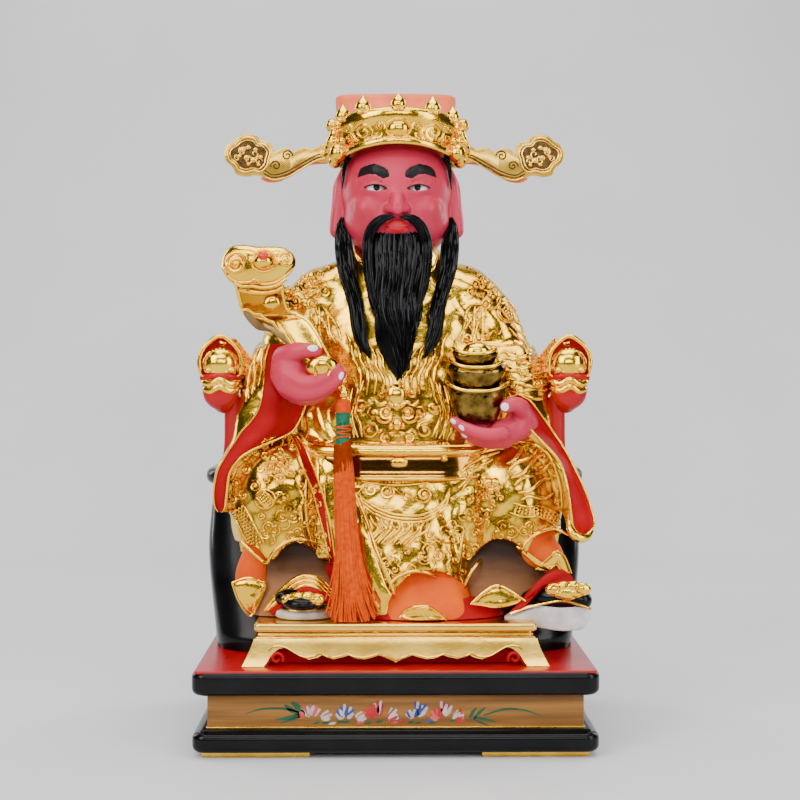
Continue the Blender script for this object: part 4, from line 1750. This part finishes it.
def hoop(rows, rise, sides=128, levels=84):
    """A ring whose profile may turn back on itself; rows are z, middle x and y, half width and depth."""
    fine = spline([[i, *row] for i, row in enumerate(rows)])(np.linspace(0, len(rows) - 1, levels))
    angle = full_turn(sides)
    grid = []
    for k, (z, x, y, wide, deep) in enumerate(fine):
        high = z + rise(angle, k / (levels - 1))
        grid.append(np.stack([x + wide * np.cos(angle), y + deep * np.sin(angle), high], -1))
    points, faces = lofted(np.array(grid))
    return facing_out((to_row(points), faces))


def crown():
    def rise(angle, share):
        return np.maximum(0, -np.sin(angle)) ** 2 * (12.5 - 9 * share)
    rows = [(350, 38, 35), (341, 42.5, 39.5), (333.5, 45.5, 42.6), (332, 47.4, 44.4), (333.6, 48.9, 45.8),
            (337, 49.1, 46), (339.3, 47.6, 44.5), (341.2, 47.3, 44.2), (350, 48.4, 45.3), (356, 50.2, 47),
            (361, 50.2, 47), (364.3, 48, 44.9), (366, 43.5, 40.6), (366.2, 38, 36)]
    profile = [[z, 2, 1, wide, deep] for z, wide, deep in rows]
    skin = hoop(profile, rise)
    show("crown_band", skin, GOLD)
    back = pillar([[341, 1, 19, 41.5, 31], [344, 1, 19, 42.6, 31.5], [363, 1, 21, 44.5, 28],
                   [380, 1, 22, 45.6, 20],
                   [384.6, 1, 22, 45.8, 18.4], [386.4, 1, 22, 45, 17], [387, 1, 22, 43.4, 15]],
                  sides=120, levels=36, square=3.6)
    show("hat_back", back, HAT_RED)
    band_skin = BVHTree.FromPolygons(skin[0].tolist(), skin[1])
    parts = []
    for px, py, size in [(343.2, 119.5, 0.95), (363.2, 111.5, 1.0), (CROWN_MIDDLE, 108, 0.96),
                         (432.5, 112, 1.0),
                         (452.5, 120.5, 0.9)]:
        x = at(px, py, -30)[0]
        share = (x - 2) / 49
        angle = math.asin(max(-0.999, min(0.999, share)))
        y = 1 - 43 * math.cos(angle)
        spot = at(px, py, y)
        peach = [[[spot[0] + size * r * math.cos(a), spot[1] + size * r * math.sin(a), spot[2] + size * h]
                  for a in full_turn(32)] for h, r in PEACH]
        parts.append(lofted(between_rings(peach, 36)))
        for way in (-1, 1):
            leaf = [[spot[0] + way * size * w, spot[1] - size * (5.6 - 0.5 * w), spot[2] + size * (h - 3.2)]
                    for w, h in [(0.6, 1.0), (3.0, 1.4), (5.6, 4.4)]]
            parts.append(tube(leaf, [0.8, 1.5, 0.3], 10, samples=14))
    boss, _ = on_skin(CROWN_MIDDLE, 129, 0, band_skin)
    parts.append(knob(boss + [0, 1.2, 0], [8.2, 4.8, 6.4], 40, 24))
    parts.append(tube(closed_loop(CROWN_MIDDLE, 129, 12.6, 9.6, band_skin), 0.8, 10))
    for hand in (-1, 1):
        middle = 398.2 + hand * 34.6
        parts += curl_set(middle, 133, hand, band_skin)
        parts += [tube(picture_curl(CROWN_MIDDLE + hand * 19, 127.5, 5.2, 200 if hand > 0 else -20, 1.4,
                                    -hand,
                                    band_skin), 0.85, 8),
                  tube(picture_curl(CROWN_MIDDLE + hand * 20.5, 135.5, 3.8, 150 if hand > 0 else 30, 1.2,
                                    hand,
                                    band_skin), 0.75, 8)]
        lumps = [ball([2 + hand * dx, y, z], [r * 0.92, r, r], 24, 16)
                 for dx, y, z, r in [(48.5, -13, 360, 5.4), (46.5, -18, 353, 4.4), (47.5, -16, 347.5, 6.2),
                                     (50.5, -8, 344, 4.6), (44, -24, 338, 7.2), (46.5, -16, 333, 5.2),
                                     (41, -30, 346, 3.2), (49.5, 2, 341, 6.6)]]
        parts.append(smoothed(cast(lumps, 0.8, soft=1.2), 2))
        for px, py, r in [(334, 126, 2.0), (331.5, 143, 2.2), (340, 158, 2.6), (344, 148, 1.8)]:
            parts.append(knob(at(CROWN_MIDDLE - hand * (CROWN_MIDDLE - px), py, -21 - (px - 331) * 0.4),
                              [r, 1.6, r], 16, 10))
    show("crown_ornament", parts, GOLD)


def wound(cx, cy, radius, start, turns, hand, samples, shrink):
    """Picture points of a spiral from its outer end to its middle, against the clock where hand is 1."""
    points = []
    for i in range(samples):
        s = i / (samples - 1)
        a = math.radians(start) + hand * 2 * math.pi * turns * s
        r = radius * (1 - shrink * s)
        points.append((cx + r * math.cos(a), cy - r * math.sin(a)))
    return points


def picture_curl(cx, cy, radius, start, turns, hand, skin, samples=34, shrink=0.86):
    """A spiral laid on a skin."""
    points = wound(cx, cy, radius, start, turns, hand, samples, shrink)
    return np.array([on_skin(px, py, 0.1, skin)[0] for px, py in points])


def closed_loop(cx, cy, rx, ry, skin, samples=40):
    return np.array([on_skin(cx + rx * math.cos(a), cy - ry * math.sin(a), 0.0, skin)[0]
                     for a in np.linspace(0, 2 * math.pi * (1 + 1 / samples), samples + 1)])


def between_rings(rings, count):
    """More rings of points, on smooth lines through those given."""
    rings = np.array(rings, float)
    fine = spline([[i, *ring.ravel()] for i, ring in enumerate(rings)])(np.linspace(0, len(rings) - 1, count))
    return fine.reshape(count, *rings.shape[1:])


def curl_set(cx, cy, hand, skin):
    """The large scroll of the crown with its small leaves."""
    parts = [tube(picture_curl(cx, cy, 12.2, 90, 2.2, -hand, skin, samples=80, shrink=0.9), 1.0, 10),
             tube(picture_curl(cx + hand * 15, cy - 3, 4.4, 90, 1.2, hand, skin), 0.8, 8),
             tube(picture_curl(cx + hand * 15, cy + 6, 3.6, 270, 1.1, -hand, skin), 0.7, 8)]
    for a in (200, 240, 290):
        px = cx + 14.0 * math.cos(math.radians(a))
        py = cy - 8 * math.sin(math.radians(a))
        parts.append(tube(picture_curl(px, py, 2.6, a + 90, 0.9, hand, skin, samples=18), 0.65, 8))
    return parts


# Hat wings


def plate(points, front, back, edge, samples):
    """A flat form drawn in x and z with small rounded edges; its front face looks along -Y."""
    line = closed_line([[x, 0, z] for x, z in points], samples)[:, [0, 2]]
    heading = np.roll(line, -1, 0) - np.roll(line, 1, 0)
    heading /= np.linalg.norm(heading, axis=1)[:, None] + 1e-9
    area = np.sum(line[:, 0] * np.roll(line[:, 1], -1) - np.roll(line[:, 0], -1) * line[:, 1])
    inward = np.stack([-heading[:, 1], heading[:, 0]], -1) * (1 if area > 0 else -1)
    grid = [[[x, y, z] for x, z in line + inward * inset] for y, inset in bevelled(front, back, edge)]
    return facing_out(lofted(np.array(grid)))

WING_LINE = [
    (329, 144.5), (320, 146), (312, 149.5), (304, 147.5), (297, 151), (292, 152.5), (289, 148.5), (281, 149),
    (275, 153), (273.5, 148), (268, 142), (261, 141), (257, 136), (249, 134.8), (241, 136.5), (235, 141.5),
    (228, 146), (224.8, 154), (227, 162), (233, 168), (237, 175), (246, 177), (255, 175.5), (262, 177),
    (269, 180.5),
    (280, 179.5), (290, 174), (300, 166.5), (314, 163), (329, 162)]


def wing():
    """The left wing; the right one is its mirror."""
    y = 2.5 * UNIT
    flat = [at(px, py, y)[[0, 2]] for px, py in WING_LINE]
    body = plate(flat, y + 0.6, y + 5.2 * UNIT, 0.8, 240)

    def lying(points, samples, lift=0.0, closed=False):
        row = [at(px, py, y + 0.4 - lift) for px, py in points]
        if closed:
            line = closed_line(row, samples)
            return np.vstack([line, line[:1]])
        return open_line(row, samples)
    leaf = [(270.5, 153), (266, 146), (259, 145), (255, 140), (248, 138.4), (241.5, 140.5), (236.5, 145),
            (230.5, 149), (228.3, 155), (230.5, 161), (236, 165.5), (240, 171), (247, 173), (254, 171.3),
            (261, 172.5), (267, 167.5), (269, 160)]

    def drawn_in(across, down, shift):
        return [(248 + (px - 248.8) * across + shift, 155.6 + (py - 155.6) * down) for px, py in leaf]
    inner = drawn_in(0.87, 0.84, 0.6)
    rims = [tube(lying(leaf, 90, 0.2, True), 0.95, 10), tube(lying(inner, 90, 0.1, True), 0.6, 8)]
    upper_line = [(329.5, 152.7), (316, 156.4), (300.5, 165), (287, 172.3), (274, 175.6), (265, 171.2)]
    lower_line = [(329.5, 155.6), (316, 159.4), (301.7, 167.8), (287.7, 175), (274, 178.2), (264, 174.2)]

    def swirl(cx, cy, r, start, turns, hand):
        points = wound(cx, cy, r, start, turns, hand, 30, 0.85)
        return tube([at(px, py, y + 0.2) for px, py in points], 0.55, 8)
    lines = [tube(lying(upper_line, 50), 0.55, 8), tube(lying(lower_line, 50), 0.55, 8),
             tube(lying(drawn_in(0.935, 0.92, 0.3), 120, closed=True), 0.6, 8),
             swirl(287.6, 156.3, 5.6, 0, 1.5, 1), swirl(276.3, 166.4, 5.2, 190, 1.4, -1)]
    rims.append(tube(lying([(329, 158.4), (315, 162), (301, 170.4), (288, 177.6), (275, 180.4), (266, 178)],
                           50, 0.1),
                     0.8, 8))
    cloud = []
    for cx, cy, r in [(243, 151, 3.6), (249, 148.5, 3.0), (256, 150.5, 2.8), (240, 157, 2.6),
                      (247, 158.5, 3.4),
                      (254, 161, 3.6), (261, 158, 2.8), (249, 165, 2.6), (259, 165.5, 2.4)]:
        cloud.append(knob(at(cx, cy, y + 0.6), [r * 0.76, 1.5, r * 0.6], 18, 12))
    for cx, cy, r, start, hand in [(243, 152.5, 5, 30, 1), (255, 155, 5, 200, 1), (249, 161.5, 4.4, 100, -1),
                                   (259, 162, 3.6, 0, 1), (238, 159, 3.2, 90, 1)]:
        cloud.append(swirl(cx, cy, r, start, 1.1, hand))
    field = plate([at(px, py, y)[[0, 2]] for px, py in inner], y + 0.35, y + 1.5, 0.2, 90)
    edge = lying([(262, 178.8), (269, 182), (280, 181), (290, 175.5), (300, 168), (314, 164.3), (328, 163.3)],
                 60, -2.4)
    red = tube(edge, 0.9, 8, flat=2.2, across=(0, 0, 1))
    peg = limb([[-49, 5, 341, 3.3, 3.3], [-56, 5, 341, 3.3, 3.3]], sides=24, samples=6, across=(0, 0, 1),
               ends=False)
    return {"body": together([body, peg]), "relief": together(rims + cloud), "edge": red,
            "field": together([field] + lines)}


def wings():
    left = wing()
    for side, word in ((LEFT, "left"), (RIGHT, "right")):
        def turned(shape):
            return shape if side == LEFT else mirrored(shape)
        node = "hat_wing_" + word
        show(node + "_body", turned(left["body"]), PALE_GOLD, replaces=[node])
        show(node + "_relief", turned(left["relief"]), SLAB_GOLD)
        show(node + "_field", turned(left["field"]), DARK_FIELD)
        show(node + "_edge", turned(left["edge"]), HAT_RED)


# Hands


def finger(points, radii, samples=30):
    """A finger through picture points with depth; radii in millimetres."""
    line = at_all(points)
    return limb([[*q, r, r] for q, r in zip(line, radii)], sides=24, samples=samples, across=(0, 0.3, 1),
                local=False)


def nail(px, py, y, wide, tall, turn=0.0):
    cos, sin = math.cos(turn), math.sin(turn)
    return knob(at(px, py, y), [wide, 1.1, tall], 24, 14, turn=[[cos, 0, -sin], [0, 1, 0], [sin, 0, cos]])


def hands():
    left = [
        finger([(296, 386, -40), (290, 374, -50)], [13, 14]),
        finger([(289, 364, -52), (292, 376, -56), (304, 386, -58)], [13, 14.4, 11]),
        finger([(286, 358, -56), (296, 352, -64), (307, 350.5, -68), (316, 351.5, -69)],
               [9.4, 7.2, 5.4, 4.2]),
        finger([(288, 384, -60), (304, 392, -67), (320, 390, -69), (333, 383, -69), (341, 374, -69)],
               [9, 7.4, 6.2, 5.2, 4.0]),
        finger([(290, 388, -54), (303, 396, -60), (317, 395, -63), (327, 390, -64)], [8.6, 6.8, 5.8, 4.8]),
        finger([(290, 376, -62), (305, 383, -70), (319, 381, -71), (331, 375, -70), (337, 368, -69)],
               [8, 6.2, 5.4, 4.6, 3.6]),
    ]
    show("hand_left", smoothed(cast(left, 0.8, soft=1.8), 2), SKIN, angle=80, keep=0.55)
    right = [
        finger([(530, 426, -38), (522, 424, -50)], [11.5, 11.5]),
        finger([(521, 420, -52), (514, 429, -58), (500, 433, -60)], [11, 10, 8.6]),
        finger([(522, 414, -58), (520, 407, -66), (513, 404.5, -70), (506.5, 406.5, -71)],
               [7.6, 6.4, 5.4, 4.8]),
        finger([(503, 437, -66), (488, 437.5, -69), (474, 432, -69), (463, 427, -68), (455, 421.5, -66)],
               [6, 5.6, 5, 4.4, 3.6]),
        finger([(506, 440, -60), (490, 441, -63), (476, 438, -64), (466, 433.5, -64)], [6.2, 5.8, 5, 4]),
        finger([(503, 433, -72), (490, 435, -75), (478, 433, -76), (468, 429, -75), (462, 426, -74)],
               [5.4, 5, 4.6, 4, 3.2]),
        finger([(504, 428, -54), (486, 428, -52), (464, 424, -52)], [7, 6.4, 5]),
    ]
    show("hand_right", smoothed(cast(right, 0.8, soft=1.5), 2), SKIN, angle=80, keep=0.55)
    nails = [nail(312.5, 348.5, -72.6, 4.0, 2.5, 0.1), nail(341, 376, -72.6, 1.8, 3.0, -0.4),
             nail(505, 407, -75.4, 2.9, 3.0, 0.2), nail(453.5, 421.5, -69.5, 2.6, 1.5, -0.7),
             nail(462, 428, -77.2, 2.8, 1.5, -0.7), nail(464.5, 435, -68, 2.6, 1.4, -0.7)]
    show("nails", nails, WHITE)


# Sceptre


def sceptre():
    head_line = [(222.5, 262), (226, 252), (234, 246), (246, 245), (258, 246.5), (272, 246.5), (283, 247.5),
                 (291, 252), (295.5, 259), (295, 267), (290, 273), (284, 279), (274, 284), (258, 286),
                 (242, 285),
                 (230, 280), (223.5, 272)]
    top = leaf_of([(px, py, -63) for px, py in head_line], 8.5, 9, samples=120, rings=20, power=2.2)
    parts = [top]
    strap_rows = [[(237, 286, -60), (282, 285, -60)], [(240, 299, -57), (284, 300, -57)],
                  [(243.5, 310, -54), (288, 310, -54)], [(251, 317, -53), (297, 315, -54)],
                  [(269, 321, -56), (308, 321, -58)], [(285, 333, -60), (318, 335, -62)],
                  [(297, 348, -64), (326, 351, -65)], [(311, 362, -65), (333, 364, -66)]]
    edges = between_rings([at_all(row) for row in strap_rows], 70)
    share = np.linspace(0, 1, 13)[:, None]
    dip = np.array([0, 1, 0]) * (1.6 * np.sin(math.pi * share) ** 0.6)
    grid = []
    for p, q in edges:
        flat = p + (q - p) * share
        grid.append(np.vstack([flat + dip, flat[::-1] + np.array([0, 6.5, 0])]))
    grid = np.array(grid)
    parts.append(facing_out(lofted(grid[30:])))
    show("ruyi_neck", facing_out(lofted(grid[:32])), AMBER_GOLD)
    for edge in (edges[:, 0], edges[:, 1]):
        parts.append(tube(edge, 1.5, 12))
    parts.append(leaf_of([(308, 362, -70), (318, 356, -71), (330, 357, -71), (338, 364, -70), (336, 374, -69),
                             (326, 380, -69), (314, 378, -69), (306, 371, -69)], 5, 8, samples=60, rings=12))
    for hand in (-1, 1):
        ear = [(322 + hand * 6, 376, -76), (322 + hand * 9, 368, -76.5), (322 + hand * 4, 361, -77)]
        parts.append(tube(at_all(ear), 0.8, 8, samples=20))
    head_skin = BVHTree.FromPolygons(top[0].tolist(), top[1])

    def on_head(points):
        return np.array([on_skin(px, py, 0.2, head_skin, -66)[0] for px, py in points])

    def loop(points, size, closed=True):
        line = on_head(closed_line(points, 60) if closed else open_line(points, 60))
        return tube(np.vstack([line, line[:1]]) if closed else line, size, 10)
    parts += [
        tube(picture_curl(236.5, 264, 12, 20, 1.75, 1, head_skin, samples=60, shrink=0.88), 1.9, 12),
        tube(picture_curl(285.5, 260, 8.2, 160, 1.5, -1, head_skin, samples=50, shrink=0.85), 1.5, 12),
        loop([(252, 262), (256, 254), (264, 250.5), (273, 254), (277, 262), (273, 269), (264, 272),
              (255, 269)], 1.1),
        loop([(224, 268), (229, 276.5), (238, 282), (250, 282), (256, 279.5), (263, 284), (276, 282),
              (285, 276.5),
              (292, 270)], 1.1, closed=False),
        loop([(226, 272), (231, 280), (241, 286), (253, 286.5), (264, 288), (277, 285.5), (287, 279)], 1.3,
             closed=False),
    ]
    mount = [(253, 262), (257, 255), (264, 252), (272, 255), (275.5, 262), (272, 268), (264, 270.5),
             (256, 267.5)]
    bulge = pillow(on_head(mount), 8.0, 2, samples=60, rings=14)
    parts.append(bulge)
    parts.append(knob(on_skin(236.5, 264, 0.2, head_skin)[0], [2.8, 2.2, 2.6], 20, 12))
    parts.append(knob(on_skin(285.5, 260, 0.2, head_skin)[0], [2.6, 2.2, 2.4], 20, 12))
    under = [(240, 289, -62), (252, 292, -63), (262, 293, -63), (274, 291.5, -63), (283, 287, -62)]
    parts.append(tube(at_all(under), 2.0, 12, samples=40))
    leaf = [(263, 304, -60), (268, 297, -60.5), (276, 296, -60.5), (281, 303, -60), (276, 308, -60),
            (268, 309, -60)]
    parts.append(leaf_of(leaf, 2.2, 2, samples=40))
    show("ruyi_body", parts, GOLD, replaces=["ruyi_sceptre"])
    spot, _ = on_skin(263.5, 256.5, 0, BVHTree.FromPolygons(bulge[0].tolist(), bulge[1]), -70)
    show("ruyi_jewel", knob(spot, [3.6, 2.4, 3.4], 32, 20), JEWEL)
    underside = leaf_of([(241, 306, -55), (246, 313, -54), (256, 318.5, -54), (270, 322, -57),
                         (280, 329, -60),
                            (289, 339, -62), (295, 349, -63), (290, 348, -62), (280, 338, -60),
                            (270, 332, -57),
                            (258, 330, -55), (249, 322, -54), (243, 313, -54)],
                       1.6, 5, samples=110, rings=8)
    show("ruyi_underside", underside, DARK_GOLD)
    edge = []
    for s in np.linspace(0, 1, 60):
        edge.append(at(242 + 50 * s, 309 + 14 * s + 20 * s**2.6 + 1.0 * math.cos(8 * math.pi * s),
                       -58.5 - 6 * s))
    show("ruyi_scallops", tube(edge, 1.3, 10), GOLD)


# Ingots


def ingots():
    y = -60

    def boat(px0, px1, low, high, lift, depth, foot):
        left, right = at(px0, high, y)[0], at(px1, high, y)[0]
        top, bottom = at(0, high, y)[2], at(0, low, y)[2]
        middle, half = (left + right) / 2, (right - left) / 2
        tall = top - bottom
        rows = [[0, foot * 0.92], [0.08, foot], [0.35, foot + 0.12], [0.7, foot + 0.28], [0.9, 0.97],
                [0.955, 1.0],
                [1.0, 0.985], [1.0, 0.9], [0.93, 0.8], [0.86, 0.6]]
        grid = []
        for h, w in rows:
            ring = []
            for a in full_turn(72):
                up = lift * max(0, h - 0.25) / 0.75 * abs(math.cos(a)) ** 3 * w
                ring.append([middle + half * w * math.cos(a), y + depth * w * math.sin(a),
                             bottom + tall * h + up])
            grid.append(ring)
        rim = [[middle + half * math.cos(a), y + depth * math.sin(a),
                top + lift * abs(math.cos(a)) ** 3 - 0.6]
               for a in np.linspace(0, 2 * math.pi, 73)]
        return facing_out(lofted(between_rings(grid, 44))), tube(rim, 1.2, 10)
    boats = [boat(447, 508, 421, 390, 6, 14, 0.66), boat(450, 504, 389, 366.5, 5, 12.5, 0.80),
             boat(453, 497.5, 367, 353, 4.5, 11, 0.76)]
    show("ingots", [shape for shape, _ in boats], INGOT_GOLD, replaces=["ingot_stack"])
    rims = [rim for _, rim in boats]
    rims.append(knob(at(477, 352, y), [10.4, 8, 7.4], 48, 28))
    rims.append(knob(at(478, 345.5, y), [3.2, 3, 2.4], 24, 14))
    show("ingot_rims", rims, GOLD)


# Tassel

THREADS_A_LAYER = 37
THREAD_TOP = 444
THREAD_END = 623


def thread_loop(middle, wide, deep, thick, count):
    """One turn of thread round the tassel."""
    return tube([[middle[0] + wide * math.cos(a), middle[1] + deep * math.sin(a), middle[2]]
                 for a in np.linspace(0, 2 * math.pi, count)], thick, 5)


def tassel():
    y = -72.0
    gold = [knob(at(344, 393.5, y), [3.6, 3.6, 3.9], 28, 18),
            knob(at(344, 388.5, y), [2.2, 2.2, 1.6], 20, 12),
            knob(at(344, 398.6, y), [2.4, 2.4, 1.4], 20, 12),
            tube(at_all([(338, 384, -67), (341, 385, -70), (344, 389, y)]), 1.0, 8, samples=12)]
    show("tassel_bead", gold, GOLD)
    wrap = []
    for k in range(36):
        r = 3.0 + 2.3 * min(1, k / 14)
        wrap.append(thread_loop(at(343.2, 399.5 + k * 0.36, y), r, r, 0.32, 25))
    show("tassel_wrap", wrap, THREAD, replaces=["tassel"])
    binding = []
    for k in range(92):
        r = 5.0 - 0.35 * math.sin(math.pi * k / 92)
        binding.append(thread_loop(at(343.2 - 0.9 * k / 92, 411.5 + k * 0.365, y), r, 0.95 * r, 0.3, 19))
    show("tassel_binding", binding, GREEN)
    cross = []
    for hand in (-1, 1):
        line = []
        for s in np.linspace(0, 1, 90):
            a = hand * s * 5.2 * math.pi + 0.4
            p = at(343.0 - 0.6 * s, 424.5 + 13.5 * s, y)
            line.append([p[0] + 5.5 * math.cos(a), p[1] + 5.3 * math.sin(a), p[2]])
        cross.append(tube(line, 0.55, 6))
    show("tassel_cross_thread", cross, THREAD)
    show("tassel_threads", hanging_threads(y), THREAD)
    head_cap = [[*at(343, 444, y), 5.6, 5], [*at(342.8, 449, y), 6.6, 5.2], [*at(343, 470, y), 7, 5]]
    core = [[*at(343, 450, y), 5.2, 3.4], [*at(345, 490, y), 5.2, 2.6], [*at(347, 530, y), 4.4, 2.0],
            [*at(349, 560, y), 2.4, 1.4]]
    show("tassel_core", [limb(head_cap, sides=30, samples=20, local=False),
                         limb(core, sides=30, samples=40, local=False)], THREAD_SHADE)


def hanging_threads(y):
    """Three layers of threads that spread and part towards their ends."""
    rng = np.random.default_rng(11)
    threads = []
    for k in range(3 * THREADS_A_LAYER):
        across = 2 * (k % THREADS_A_LAYER) / (THREADS_A_LAYER - 1) - 1 + rng.uniform(-0.04, 0.04)
        layer = k // THREADS_A_LAYER
        bow = math.sqrt(max(0, 1 - across * across))
        deep = -(4.6 - 2.4 * layer) * bow + rng.uniform(-0.3, 0.3)
        end = THREAD_END + 5 * bow - rng.uniform(0, 26) * rng.uniform(0, 1) - 6 * abs(across)
        line = []
        sway = rng.uniform(-1.7, 1.7, 3)
        for s in np.linspace(0, 1, 13):
            middle = 342.4 + 7.5 * s + 1.8 * s**4
            half = 8.4 + 4.4 * s + 11.5 * max(0, s - 0.58) ** 1.7 / 0.42**1.7
            wander = sway[0] * math.sin(3 * s + sway[1]) * s**2
            stray = 2.4 * sway[2] * max(0, s - 0.86) / 0.14
            px = middle + half * across * min(1, 0.72 + 2.4 * s) + wander + stray
            p = at(px, THREAD_TOP + (end - THREAD_TOP) * s, y)
            line.append([p[0], p[1] + deep * (0.9 + 0.25 * s), max(p[2], FIGURE_LEVEL + 0.7)])
        threads.append(tube(line, 0.66, 6, samples=24))
    return threads


# Belt and collar


def belt():
    def band(rows):
        points, faces = pillar([[z, 2, -2, 67 + out, 43.5 + out] for z, out in rows], sides=128, levels=26,
                               square=3.0)
        points[:, 2] += np.interp(points[:, 1], [-46, -20], [-2.6, 1.2])
        return points, faces
    show("belt_band", band([(99, 1.5), (102.6, 4.6), (108, 3.8), (118, 3.2), (123, 1)]), BELT_GOLD)
    rims = [band([(117.6, 2), (118.4, 5.2), (121.0, 8.4), (124.8, 8.2), (127.4, 5.4), (128.4, 1)]),
            band([(100.6, 2), (101.2, 4.6), (102.4, 5.6), (103.8, 4.8), (104.6, 3)])]
    y = -51.3
    rims.append(pillow([at(px, py, y) for px, py in [(390.5, 462), (393, 458.5), (400, 457.5), (406.5, 459),
                                                      (408, 462.5), (406, 466.5), (399, 467.5),
                                                      (392, 466.5)]],
                       3.0, 2, samples=60, rings=14, power=3))
    rims.append(knob(at(444.5, 458.5, -48.5), [2.6, 2.8, 2.4], 24, 14))
    show("belt_rims", rims, GOLD)

COLLAR_WIDTHS = (5.5, 6.6, 7.2, 7.4, 6)


def collar():
    bands, rims, white = [], [], []
    for side, x, end in ((LEFT, 27, 8), (RIGHT, 28, -4)):
        line = [[side * x, 0, 270], [side * x * 0.93, -12, 264], [side * x * 0.7, -25, 253],
                [end * 0.8, -36, 234], [end * 1.4, -39, 216]]
        rows = [[*p, wide, 2.4] for p, wide in zip(line, COLLAR_WIDTHS)]
        bands.append(limb(rows, sides=30, samples=50, across=(1, 0, -1)))
        for way in (-1, 1):
            edge = [[p[0] + way * wide * 0.66, p[1] - 1.8, p[2] - way * wide * 0.66]
                    for p, wide in zip(line, COLLAR_WIDTHS)]
            rims.append(tube(to_row(np.array(edge)), 0.9, 8, samples=50))
        inner = [[side * x * 0.80, -6, 275], [side * x * 0.72, -16, 268], [side * x * 0.5, -26, 258]]
        white.append(limb([[*p, 3.0, 2.2] for p in inner], sides=24, samples=30, across=(1, 0, -1)))
    show("collar_bands", bands, GOLD, angle=60)
    show("collar_rims", rims, GOLD)
    show("collar_inner", white, WHITE)


plinth()
flowers()
footstool()
footstool_volutes()
throne()
linings()
underskirts()
cuffs()
robe_hems()
boots()
face_parts(head())
beard()
hair_cap()
crown()
wings()
hands()
sceptre()
ingots()
tassel()
belt()
collar()


# Camera, light and room

ROOM_MIDDLE = (0, 0, 0.24)
LIGHTS = [
    ("key_light", (-1.25, -1.35, 1.15), ROOM_MIDDLE, (0.9, 1.4), 32, (1.0, 0.98, 0.95)),
    ("fill_light", (1.35, -1.15, 0.75), ROOM_MIDDLE, (0.7, 1.4), 19, (1, 1, 1)),
    ("front_light", (0.1, -2.4, 0.9), ROOM_MIDDLE, (1.5, 0.5), 18, (1, 1, 1)),
    ("high_light", (0.0, -1.5, 1.75), ROOM_MIDDLE, (1.4, 0.6), 16, (1, 1, 1)),
    ("top_light", (0, -0.35, 1.7), ROOM_MIDDLE, (1.3, 0.6), 14, (1, 1, 1)),
    ("rim_left", (-1.4, 0.9, 0.9), ROOM_MIDDLE, (0.4, 1.2), 12, (1, 1, 1)),
    ("rim_right", (1.4, 0.9, 0.9), ROOM_MIDDLE, (0.4, 1.2), 12, (1, 1, 1)),
    ("backdrop_light", (0, 0.3, 2.6), (0, 1.6, 0.6), (2.4, 0.8), 40, (1, 1, 1)),
]
PICTURE_WIDTH = 800
SENSOR = 36


def linked(name, data):
    thing = bpy.data.objects.new(name, data)
    bpy.context.scene.collection.objects.link(thing)
    return thing


def aimed(thing, way):
    thing.rotation_mode = "QUATERNION"
    thing.rotation_quaternion = Vector(way).to_track_quat("-Z", "Y")


def photographer():
    data = bpy.data.cameras.new("camera")
    data.sensor_width = SENSOR
    data.lens = FOCAL / PICTURE_WIDTH * SENSOR
    data.clip_start = 0.05
    data.clip_end = 20
    camera = linked("camera", data)
    camera.location = (EYE * 0.001).tolist()
    half = PICTURE_WIDTH / 2
    aimed(camera, ((half - VANISH[0]) / FOCAL, 1, -(half - VANISH[1]) / FOCAL))
    bpy.context.scene.camera = camera


def room():
    """A pale floor that curves up behind, soft lights and a weak even sky."""
    start, wall, curve = -3.0, 0.9, 0.8
    bend = [(wall + curve * math.sin(a), curve - curve * math.cos(a)) for a in np.linspace(0, math.pi / 2,
                                                                                           16)]
    line = [(start, 0.0)] + bend + [(wall + curve, 4.0)]
    mesh = bpy.data.meshes.new("floor")
    mesh.from_pydata([(x, y, z) for y, z in line for x in (-4, 4)], [],
                     [(2 * i, 2 * i + 1, 2 * i + 3, 2 * i + 2) for i in range(len(line) - 1)])
    mesh.polygons.foreach_set("use_smooth", [True] * len(mesh.polygons))
    mesh.materials.append(finish("pale_floor", (0.60, 0.60, 0.61), (0.64, 0.64, 0.65), 0.6, scale=3,
                                 bump=0.05))
    linked("floor", mesh)
    for name, place, target, size, power, colour in LIGHTS:
        data = bpy.data.lights.new(name, "AREA")
        data.shape = "RECTANGLE"
        data.size, data.size_y = size
        data.energy = power
        data.color = colour
        light = linked(name, data)
        light.location = place
        aimed(light, Vector(target) - Vector(place))
    world = bpy.data.worlds.new("world")
    bpy.context.scene.world = world
    world.use_nodes = True
    background = world.node_tree.nodes["Background"]
    background.inputs["Color"].default_value = (0.5, 0.5, 0.52, 1)
    background.inputs["Strength"].default_value = 0.085


photographer()
room()
